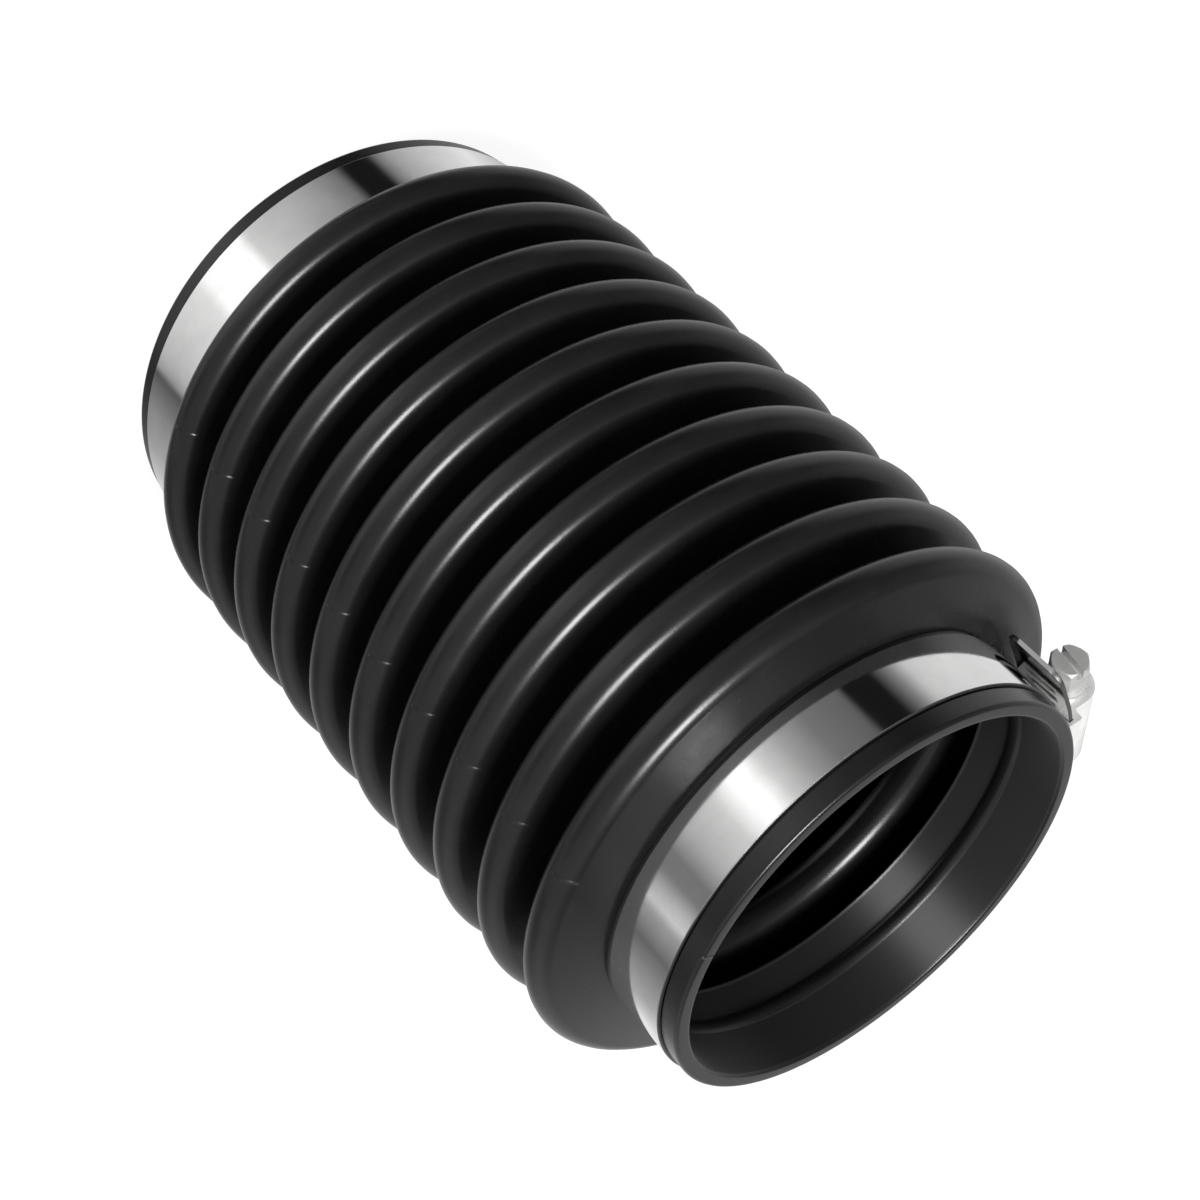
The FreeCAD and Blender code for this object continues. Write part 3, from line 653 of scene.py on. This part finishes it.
def steel_material(name, bare, edge_painted_shade, tone, dull_tone, roughness, stretch, grain_depth, cloud_scale):
    """bare is 1 for bare metal, and less where plating scatters the light. The next argument is 1 where
    the cut edges get a dark painted shade, and 0 where they are plated too."""
    material, tree, shader = new_material(name)
    shader.inputs["Metallic"].default_value = bare
    around = place_group(tree, AROUND, {"Radius": FRONT_SEAT})
    clouds = place_group(tree, SMUDGES, {"Scale": cloud_scale, "Cover": 0.5, "Softness": 0.22})
    lines = place_group(tree, GRAIN, {"Stretch": stretch, "Scale": 9000.0})
    tree.links.new(around.outputs["Unrolled"], clouds.inputs["Vector"])
    tree.links.new(around.outputs["Unrolled"], lines.inputs["Vector"])
    cut = sheared_edges(tree)
    # painted shade: the cut edges of the bands are darkened, for the dark line where a band meets the
    # rubber
    colour = add_node(tree, "ShaderNodeMix", {"B": (*CUT_EDGE_PAINTED_SHADE, 1.0)}, data_type="RGBA")
    tree.links.new(combine(tree, "MULTIPLY", cut, edge_painted_shade), colour.inputs["Factor"])
    tree.links.new(mix_colours(tree, clouds.outputs["Mask"], tone, dull_tone), colour.inputs["A"])
    tree.links.new(colour.outputs["Result"], shader.inputs["Base Color"])
    gloss = spread(tree, clouds.outputs["Mask"], *roughness)
    cut_gloss = combine(tree, "MULTIPLY", cut, SHEARED_ROUGHNESS)
    tree.links.new(combine(tree, "MAXIMUM", gloss, cut_gloss), shader.inputs["Roughness"])
    bump = add_node(tree, "ShaderNodeBump", {"Strength": grain_depth, "Distance": GRAIN_HEIGHT})
    tree.links.new(lines.outputs["Height"], bump.inputs["Height"])
    tree.links.new(bump.outputs["Normal"], shader.inputs["Normal"])
    return material


BAND_STEEL = steel_material(
    "rolled_band_steel", bare=1.0, edge_painted_shade=1.0, tone=(0.9, 0.9, 0.895), dull_tone=(0.8, 0.8, 0.795),
    roughness=(0.04, 0.1), stretch=(0.02, 1.0, 1.0), grain_depth=0.12, cloud_scale=90.0,
)
HOUSING_STEEL = steel_material(
    "pressed_housing_steel", bare=0.35, edge_painted_shade=0.0, tone=(0.92, 0.92, 0.91), dull_tone=(0.8, 0.8, 0.79),
    roughness=(0.22, 0.34), stretch=(0.3, 1.0, 1.0), grain_depth=0.25, cloud_scale=220.0,
)
SCREW_STEEL = steel_material(
    "turned_screw_steel", bare=0.75, edge_painted_shade=0.0, tone=(0.86, 0.86, 0.85), dull_tone=(0.7, 0.7, 0.69),
    roughness=(0.38, 0.5), stretch=(1.0, 1.0, 1.0), grain_depth=0.3, cloud_scale=400.0,
)
print("materials:", BAND_STEEL.name, HOUSING_STEEL.name, SCREW_STEEL.name)


# %% [markdown]
# ## The rubber piece
# The section becomes a mesh of plain edges, with a mark on the points of the valley that repeats.
# The tree does the rest. Its result is made a plain mesh, and its faces are turned outwards.

# %% The boot
def drawn(name, runs, mark):
    """A mesh of plain edges from several runs of (points, one mark for each point)."""
    vertices, edges, marks = [], [], []
    for points, point_marks in runs:
        first = len(vertices)
        vertices += points
        edges += [(first + i, first + i + 1) for i in range(len(points) - 1)]
        marks += point_marks
    mesh = bpy.data.meshes.new(name)
    mesh.from_pydata(vertices, edges, [])
    mesh.attributes.new(mark, "FLOAT", "POINT").data.foreach_set("value", marks)
    piece = bpy.data.objects.new(name, mesh)
    bpy.context.scene.collection.objects.link(piece)
    return piece


def on_section(points):
    """Points (radius, height) as the sweep needs them."""
    return [(r - PATH_RADIUS, -z, 0) for r, z in points]


def made_plain(piece, name):
    """Replace a piece by the plain mesh that its modifiers make."""
    graph = bpy.context.evaluated_depsgraph_get()
    mesh = bpy.data.meshes.new_from_object(piece.evaluated_get(graph))
    draft = piece.data
    bpy.data.objects.remove(piece)
    bpy.data.meshes.remove(draft)
    mesh.name = name
    result = bpy.data.objects.new(name, mesh)
    bpy.context.scene.collection.objects.link(result)
    return result


def face_outwards(piece):
    cleaned = bmesh.new()
    cleaned.from_mesh(piece.data)
    bmesh.ops.recalc_face_normals(cleaned, faces=cleaned.faces)
    cleaned.to_mesh(piece.data)
    cleaned.free()


SMOOTH_BELOW = math.radians(30)


def shaded(piece):
    """Shade a swept piece smooth. The large faces lead, so that they mirror the room as true planes."""
    face_outwards(piece)
    piece.data.set_sharp_from_angle(angle=SMOOTH_BELOW)
    leading = piece.modifiers.new("leading", "WEIGHTED_NORMAL")
    leading.keep_sharp = True
    return made_plain(piece, piece.name)


def make_boot():
    runs = []
    for points, repeats in (
        (outer_valley(FIRST_CREST), 1.0),
        (inner_valley(FIRST_CREST), 1.0),
        (rear_cuff, 0.0),
        (front_cuff, 0.0),
    ):
        runs.append((on_section(points), [repeats] * len(points)))
    section = drawn("section", runs, REPEATS)
    run_tree(section, TURNING, {"Material": RUBBER})
    return shaded(made_plain(section, "bellows_rubber"))


bellows = make_boot()
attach(bellows, "boot")
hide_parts("rubber_bellows")
print("bellows:", len(bellows.data.polygons), "faces")

# %% [markdown]
# ## The bands
# A band is one strip of thin steel. It goes once round the cuff, rises over its own beginning, passes
# under the screw and ends in a short straight tail with rounded corners. The slots that the screw
# bites into stand one thread pitch apart. The strip is drawn as a line seen along the axis: arcs
# that touch, with straight runs between. Everything is counted from the middle of the clamp.

# %% Line of a band
BAND_THICKNESS = 0.8 * MM
BAND_LIFT = 2.05 * MM
OVERLAP_ANGLE = math.radians(13)
RAMP_ROUND = 20.0 * MM
TAIL_ANGLE = math.radians(19)
TAIL_LENGTH = 10.0 * MM
TAIL_CORNER = 2.5 * MM
TURN_STEPS = 300
RAMP_STEPS = 16
TAIL_STEPS = 8


def band_bends(inner):
    """The radius of the free end's inner face, and the angle that the ramp turns through."""
    free = inner + BAND_THICKNESS + BAND_LIFT
    return free, math.acos((inner - RAMP_ROUND) / (free - RAMP_ROUND))


def band_line(inner, offset):
    """Points of the band up to its tail, at the given height above the inner face of the strip."""
    free, ramp = band_bends(inner)
    start = -OVERLAP_ANGLE
    ramp_start = start - ramp
    points = arc((0, 0), inner + offset, start, ramp_start + math.tau, TURN_STEPS)
    centre = (free - RAMP_ROUND) * math.cos(start), (free - RAMP_ROUND) * math.sin(start)
    points += arc(centre, RAMP_ROUND + offset, ramp_start, start, RAMP_STEPS)
    points += arc((0, 0), free + offset, start, TAIL_ANGLE, RAMP_STEPS)[1:]
    return points


def tail_line(inner, offset, width):
    """Points of the straight tail, each with its share of the strip's width."""
    corner = Vector(band_line(inner, offset)[-1])
    ahead = Vector((-math.sin(TAIL_ANGLE), math.cos(TAIL_ANGLE)))
    rounded = []
    for step in range(TAIL_STEPS + 1):
        angle = math.pi / 2 * step / TAIL_STEPS
        distance = TAIL_LENGTH - TAIL_CORNER * (1 - math.sin(angle))
        share = 1 - 2 * TAIL_CORNER * (1 - math.cos(angle)) / width
        rounded.append((corner + ahead * distance, share))
    return rounded


# %% [markdown]
# ## The band's tree
# One sweep makes the strip from its line and a rounded oblong. The mark on each point of the line
# narrows the strip towards its tip. A second line on the outer face carries the slots: it is cut to
# length, divided evenly, and a small bar stands on every point. The bars lean as the thread does, and
# are cut out of the strip.

# %% The band tree
WIDTH_SHARE = "width_share"
THREAD_PITCH = 3.18 * MM
THREAD_MIDDLE = 3.625 * MM
SLOT_COUNT = 24
SLOT_LENGTH = 7.6 * MM
SLOT_WIDTH = 1.75 * MM
SLOT_LEAN = math.atan(THREAD_PITCH / (math.tau * THREAD_MIDDLE))
BAR_DEPTH = 2.4 * BAND_THICKNESS


def band_tree():
    tree = new_tree("slotted_band", "GeometryNodeTree", [
        ("Lines", "geometry", None),
        ("Width", "float", 12.7 * MM),
        ("Thickness", "float", BAND_THICKNESS),
        ("Edge Round", "float", 0.16 * MM),
        ("First Slot", "float", 0.0),
        ("Last Slot", "float", 0.1),
        ("Slots", "int", SLOT_COUNT),
        ("Slot Lean", "float", -SLOT_LEAN),
        ("Height", "float", 0.0),
        ("Azimuth", "float", 0.0),
        ("Material", "material", None),
    ], [("Band", "geometry")])
    start = add_node(tree, "NodeGroupInput")
    finish = add_node(tree, "NodeGroupOutput")
    names = {socket.name: socket for socket in start.outputs}

    share = add_node(tree, "GeometryNodeInputNamedAttribute", {"Name": WIDTH_SHARE}, data_type="FLOAT")
    split = add_node(tree, "GeometryNodeSeparateGeometry", domain="POINT")
    tree.links.new(names["Lines"], split.inputs["Geometry"])
    tree.links.new(share.outputs["Attribute"], split.inputs["Selection"])

    line = add_node(tree, "GeometryNodeMeshToCurve")
    oblong = add_node(tree, "GeometryNodeCurvePrimitiveQuadrilateral")
    rounded = add_node(tree, "GeometryNodeFilletCurve", {"Count": 3}, mode="POLY")
    strip = add_node(tree, "GeometryNodeCurveToMesh", {"Fill Caps": True})
    tree.links.new(split.outputs["Selection"], line.inputs[0])
    tree.links.new(names["Thickness"], oblong.inputs["Width"])
    tree.links.new(names["Width"], oblong.inputs["Height"])
    tree.links.new(names["Edge Round"], rounded.inputs["Radius"])
    join(tree, oblong, rounded)
    tree.links.new(line.outputs["Curve"], strip.inputs["Curve"])
    tree.links.new(rounded.outputs["Curve"], strip.inputs["Profile Curve"])

    place = add_node(tree, "GeometryNodeInputPosition")
    parts = add_node(tree, "ShaderNodeSeparateXYZ")
    join(tree, place, parts)
    less = combine(tree, "SUBTRACT", share.outputs["Attribute"], 1.0)
    inwards = add_node(tree, "ShaderNodeCombineXYZ")
    tree.links.new(combine(tree, "MULTIPLY", less, parts.outputs["Z"]), inwards.inputs["Z"])
    narrowed = add_node(tree, "GeometryNodeSetPosition")
    join(tree, strip, narrowed)
    tree.links.new(inwards.outputs[0], narrowed.inputs["Offset"])

    slot_line = add_node(tree, "GeometryNodeMeshToCurve")
    cut = add_node(tree, "GeometryNodeTrimCurve", mode="LENGTH")
    even = add_node(tree, "GeometryNodeResampleCurve", mode="COUNT")
    tree.links.new(split.outputs["Inverted"], slot_line.inputs[0])
    join(tree, slot_line, cut)
    tree.links.new(names["First Slot"], cut.inputs[4])
    tree.links.new(names["Last Slot"], cut.inputs[5])
    join(tree, cut, even)
    tree.links.new(names["Slots"], even.inputs["Count"])

    bar = add_node(tree, "GeometryNodeMeshCube", {"Size": (BAR_DEPTH, SLOT_WIDTH, SLOT_LENGTH)})
    lean = add_node(tree, "ShaderNodeCombineXYZ")
    leaning = add_node(tree, "GeometryNodeTransform")
    tree.links.new(names["Slot Lean"], lean.inputs["X"])
    join(tree, bar, leaning)
    tree.links.new(lean.outputs[0], leaning.inputs["Rotation"])
    ahead = add_node(tree, "GeometryNodeInputTangent")
    turned = add_node(tree, "FunctionNodeAlignRotationToVector", axis="Y", pivot_axis="Z")
    bars = add_node(tree, "GeometryNodeInstanceOnPoints")
    real_bars = add_node(tree, "GeometryNodeRealizeInstances")
    tree.links.new(ahead.outputs[0], turned.inputs["Vector"])
    tree.links.new(even.outputs["Curve"], bars.inputs["Points"])
    tree.links.new(leaning.outputs[0], bars.inputs["Instance"])
    tree.links.new(turned.outputs[0], bars.inputs["Rotation"])
    join(tree, bars, real_bars)
    slotted = add_node(tree, "GeometryNodeMeshBoolean", operation="DIFFERENCE", solver="EXACT")
    tree.links.new(narrowed.outputs[0], slotted.inputs[0])
    tree.links.new(real_bars.outputs[0], slotted.inputs[1])

    lift = add_node(tree, "ShaderNodeCombineXYZ")
    turn = add_node(tree, "ShaderNodeCombineXYZ")
    placed = add_node(tree, "GeometryNodeTransform")
    tree.links.new(names["Height"], lift.inputs["Z"])
    tree.links.new(names["Azimuth"], turn.inputs["Z"])
    join(tree, slotted, placed)
    tree.links.new(lift.outputs[0], placed.inputs["Translation"])
    tree.links.new(turn.outputs[0], placed.inputs["Rotation"])
    finish_tree(tree, placed, names["Material"], finish)
    return tree


SLOTTED_BAND = band_tree()
print("band tree:", len(SLOTTED_BAND.nodes), "nodes")


# %% Both bands
def make_band(name, inner, azimuth, low, high):
    """A band with this inner radius, turned to its clamp, between the heights low and high."""
    width = high - low
    tail = tail_line(inner, BAND_THICKNESS / 2, width)
    strip = band_line(inner, BAND_THICKNESS / 2)
    shares = [1.0] * len(strip) + [share for _, share in tail]
    strip += [tuple(point) for point, _ in tail]
    outer = band_line(inner, BAND_THICKNESS)
    outer.append(tuple(tail_line(inner, BAND_THICKNESS, width)[-1][0]))
    lines = drawn(f"{name}_line", [
        ([(x, y, 0) for x, y in strip], shares),
        ([(x, y, 0) for x, y in outer], [0.0] * len(outer)),
    ], WIDTH_SHARE)

    free, ramp = band_bends(inner)
    turned = math.tau - ramp
    run = (free - RAMP_ROUND) * math.sin(ramp)
    under_screw = (inner + BAND_THICKNESS) * turned + run + (RAMP_ROUND + BAND_THICKNESS) * ramp
    under_screw += (free + BAND_THICKNESS) * OVERLAP_ANGLE
    to_tail = (free + BAND_THICKNESS) * TAIL_ANGLE
    slots_ahead = int(to_tail // THREAD_PITCH)
    slots_ahead += int((TAIL_LENGTH - TAIL_CORNER - to_tail % THREAD_PITCH) // THREAD_PITCH)
    last_slot = under_screw + slots_ahead * THREAD_PITCH

    run_tree(lines, SLOTTED_BAND, {
        "Width": width,
        "First Slot": last_slot - (SLOT_COUNT - 1) * THREAD_PITCH,
        "Last Slot": last_slot,
        "Height": (low + high) / 2,
        "Azimuth": azimuth,
        "Material": BAND_STEEL,
    })
    return shaded(made_plain(lines, name))


FRONT_CLAMP_AZIMUTH = math.radians(156)
REAR_CLAMP_AZIMUTH = math.radians(100)
front_band = make_band(
    "front_band", FRONT_SEAT + SEAT_CLEARANCE, FRONT_CLAMP_AZIMUTH, front_band_low.z, front_band_high.z
)
rear_band = make_band(
    "rear_band", REAR_SEAT + SEAT_CLEARANCE, REAR_CLAMP_AZIMUTH, rear_band_low.z, rear_band_high.z
)
for band, node in ((front_band, "front_clamp_band"), (rear_band, "rear_clamp_band")):
    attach(band, "boot")
    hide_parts(node)
    print(band.name, len(band.data.polygons), "faces")

# %% [markdown]
# ## Housings and screws
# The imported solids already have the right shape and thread, but their edges are knife sharp. Real
# sheet and bar have small rounds that catch the light. Each piece is a merged copy of its solid with
# a narrow bevel, and it takes the solid's place.


# %% Softened copies
SAME_POINT = 0.001 * MM
FLAT_BELOW = math.radians(0.5)
BEVEL_ABOVE = math.radians(35)


def softened(node, name, width, material):
    mesh = frame["nodes"][node].data.copy()
    shape = bmesh.new()
    shape.from_mesh(mesh)
    bmesh.ops.remove_doubles(shape, verts=shape.verts, dist=SAME_POINT)
    bmesh.ops.dissolve_limit(shape, angle_limit=FLAT_BELOW, verts=shape.verts, edges=shape.edges)
    shape.to_mesh(mesh)
    shape.free()
    mesh.materials.clear()
    mesh.materials.append(material)
    for face in mesh.polygons:
        face.material_index = 0
        face.use_smooth = True
    piece = bpy.data.objects.new(f"{name}_draft", mesh)
    bpy.context.scene.collection.objects.link(piece)
    bevel = piece.modifiers.new("edges", "BEVEL")
    bevel.width = width
    bevel.segments = 2
    bevel.limit_method = "ANGLE"
    bevel.angle_limit = BEVEL_ABOVE
    bevel.harden_normals = True
    return made_plain(piece, name)


METAL = [
    ("front_clamp_housing", "front_housing", 0.1 * MM, HOUSING_STEEL, "boot", "housing_steel"),
    ("rear_clamp_housing", "rear_housing", 0.1 * MM, HOUSING_STEEL, "boot", "housing_steel"),
    ("front_clamp_screw", "front_screw", 0.08 * MM, SCREW_STEEL, "front_clamp_screw", "screw_steel"),
    ("rear_clamp_screw", "rear_screw", 0.08 * MM, SCREW_STEEL, "rear_clamp_screw", "screw_steel"),
]
for node, name, width, material, body, slot in METAL:
    piece = softened(node, name, width, material)
    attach(piece, body)
    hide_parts(node)
    print(name, len(piece.data.polygons), "faces")

# %% [markdown]
# ## The studio
# The picture has a pure white ground, and polished steel that mirrors the room: bright screens with
# darker gaps between them. The floor is white to the camera and still keeps a light shadow. Mirror
# rays pass through the floor and meet the room, which the world holds: two rings of screens round the
# boot, one above the other, and a ceiling. Light that only brightens surfaces has a dark side and a
# light side, and nothing else.

# %% Floor
FLOOR_HALF = 3.0
FLOOR_TONE = (0.85, 0.85, 0.85, 1.0)
FLOOR_GLOW = 0.9
FLOOR_SHADE = (0.22, 0.22, 0.22, 1.0)


def floor_material():
    material, tree, shader = new_material("studio_floor")
    shader.inputs["Base Color"].default_value = FLOOR_TONE
    shader.inputs["Roughness"].default_value = 1.0
    shader.inputs["Specular IOR Level"].default_value = 0.0
    output = tree.nodes["Material Output"]
    path = add_node(tree, "ShaderNodeLightPath")
    glow = add_node(tree, "ShaderNodeEmission", {"Strength": FLOOR_GLOW})
    shade = add_node(tree, "ShaderNodeBsdfDiffuse", {"Color": FLOOR_SHADE})
    both = add_node(tree, "ShaderNodeAddShader")
    pick = add_node(tree, "ShaderNodeMixShader")
    join(tree, shade, both)
    join(tree, glow, both, entry=1)
    tree.links.new(path.outputs["Is Camera Ray"], pick.inputs["Fac"])
    join(tree, shader, pick, entry=1)
    join(tree, both, pick, entry=2)
    tree.links.new(pick.outputs[0], output.inputs["Surface"])
    return material


def add_floor():
    mesh = bpy.data.meshes.new("floor")
    corners = [(-FLOOR_HALF, -FLOOR_HALF, 0), (FLOOR_HALF, -FLOOR_HALF, 0),
               (FLOOR_HALF, FLOOR_HALF, 0), (-FLOOR_HALF, FLOOR_HALF, 0)]
    mesh.from_pydata(corners, [], [(0, 1, 2, 3)])
    mesh.materials.append(floor_material())
    floor = bpy.data.objects.new("floor", mesh)
    bpy.context.scene.collection.objects.link(floor)
    floor.visible_glossy = False


add_floor()

# %% World
ROOM_BRIGHTNESS = 1.2
SKY_DARK_SIDE = 0.1
SKY_LIGHT_SIDE = 0.5
BACK_SKY_LOW = 0.65
BACK_SKY_HIGH = 0.08
EVEN_DARK_SIDE = 0.28
EVEN_LIGHT_SIDE = 0.5
DARK_TO_LIGHT = (-0.7, -0.1)
RINGS_MEET = (-0.62, -0.46)
CEILING_BEGINS = (-0.2, 0.15)
BACK_BEGINS = (0.1, 0.5)
BACK_SKY_RISE = (0.35, 0.72)
UPPER_SCREENS = [
    (-180, 0.55), (-176, 0.5), (-168, 0.2), (-163, 0.09), (-158, 0.008), (-143, 0.008), (-140, 0.11),
    (-120, 0.16), (-107, 0.32), (-94, 0.6), (-86, 1.0), (-78, 1.0), (-68, 0.6), (-50, 0.38),
    (-38, 0.16), (-29, 0.17), (-20, 0.42), (-14, 0.54), (-9, 0.3), (7, 0.12), (40, 0.36), (60, 0.7),
    (84, 0.75), (96, 0.3), (112, 0.3), (128, 0.65), (164, 0.65), (180, 0.55),
]
LOWER_SCREENS = [
    (-180, 0.42), (-172, 0.33), (-165, 0.16), (-161, 0.008), (-147, 0.008), (-142, 0.15), (-130, 0.28),
    (-110, 0.43), (-90, 0.6), (-85, 1.0), (-62, 1.0), (-56, 0.72), (-35, 0.58), (-18, 0.42), (-12, 0.3),
    (-9, 0.07), (-4, 0.12), (10, 0.22), (32, 0.33), (60, 0.6), (90, 0.4), (120, 0.45), (146, 0.7),
    (162, 0.6), (180, 0.42),
]


def ring_of_screens(tree, turn, screens):
    """Brightness round the horizon, from a list of (azimuth in degrees, brightness)."""
    node = add_node(tree, "ShaderNodeValToRGB")
    tree.links.new(turn, node.inputs["Fac"])
    ramp = node.color_ramp
    while len(ramp.elements) < len(screens):
        ramp.elements.new(1.0)
    for element, (degrees, _) in zip(ramp.elements, screens):
        element.position = (degrees + 180) / 360
    for element, (_, brightness) in zip(ramp.elements, screens):
        element.color = (brightness, brightness, brightness, 1.0)
    return combine(tree, "MULTIPLY", node.outputs["Color"], ROOM_BRIGHTNESS)


def blend_values(tree, value, limits, first, second):
    """Go from the first socket to the second while the value goes from one limit to the other."""
    mix = add_node(tree, "ShaderNodeMix", data_type="FLOAT")
    tree.links.new(spread(tree, value, 0.0, 1.0, *limits), mix.inputs["Factor"])
    tree.links.new(first, mix.inputs["A"])
    tree.links.new(second, mix.inputs["B"])
    return mix.outputs["Result"]


def across(tree, parts, dark_side, light_side):
    """A brightness that rises from the dark side of the room to the light side."""
    return spread(tree, parts.outputs["X"], dark_side, light_side, *DARK_TO_LIGHT)


def room_by_direction(tree, parts):
    """What a mirror sees in each direction: two rings of screens, and the ceiling above them."""
    angle = combine(tree, "ARCTAN2", parts.outputs["Y"], parts.outputs["X"])
    turn = spread(tree, angle, 0.0, 1.0, -math.pi, math.pi)
    upper = ring_of_screens(tree, turn, UPPER_SCREENS)
    lower = ring_of_screens(tree, turn, LOWER_SCREENS)
    walls = blend_values(tree, parts.outputs["Z"], RINGS_MEET, lower, upper)
    front_sky = across(tree, parts, SKY_DARK_SIDE, SKY_LIGHT_SIDE)
    back_sky = spread(tree, parts.outputs["Z"], BACK_SKY_LOW, BACK_SKY_HIGH, *BACK_SKY_RISE)
    sky = blend_values(tree, parts.outputs["Y"], BACK_BEGINS, front_sky, back_sky)
    return blend_values(tree, parts.outputs["Z"], CEILING_BEGINS, walls, sky)


def light_world():
    world = bpy.data.worlds.new("studio")
    bpy.context.scene.world = world
    world.use_nodes = True
    tree = world.node_tree
    background = tree.nodes["Background"]
    path = add_node(tree, "ShaderNodeLightPath")
    direction = add_node(tree, "ShaderNodeTexCoord")
    parts = add_node(tree, "ShaderNodeSeparateXYZ")
    tree.links.new(direction.outputs["Generated"], parts.inputs[0])
    plain = add_node(tree, "ShaderNodeMix", {"B": 1.0}, data_type="FLOAT")
    tree.links.new(path.outputs["Is Camera Ray"], plain.inputs["Factor"])
    tree.links.new(across(tree, parts, EVEN_DARK_SIDE, EVEN_LIGHT_SIDE), plain.inputs["A"])
    mirrored = add_node(tree, "ShaderNodeMix", data_type="FLOAT")
    tree.links.new(path.outputs["Is Glossy Ray"], mirrored.inputs["Factor"])
    tree.links.new(plain.outputs["Result"], mirrored.inputs["A"])
    tree.links.new(room_by_direction(tree, parts), mirrored.inputs["B"])
    tree.links.new(mirrored.outputs["Result"], background.inputs["Strength"])
    background.inputs["Color"].default_value = (1.0, 1.0, 1.0, 1.0)


light_world()


# %% Lamps
def add_softbox(name, azimuth, elevation, distance, size, power):
    """A square lamp, aimed at the middle of the boot from a direction given in degrees."""
    data = bpy.data.lights.new(name, "AREA")
    data.size = size
    data.energy = power
    lamp = bpy.data.objects.new(name, data)
    bpy.context.scene.collection.objects.link(lamp)
    level = math.cos(math.radians(elevation))
    turn = math.radians(azimuth)
    away = Vector((level * math.cos(turn), level * math.sin(turn), math.sin(math.radians(elevation))))
    aimed = away.to_track_quat("Z", "Y").to_matrix().to_4x4()
    lamp.matrix_world = Matrix.Translation(AIM_POINT + away * distance) @ aimed


add_softbox("overhead_box", azimuth=-76, elevation=66, distance=0.95, size=0.3, power=9.5)
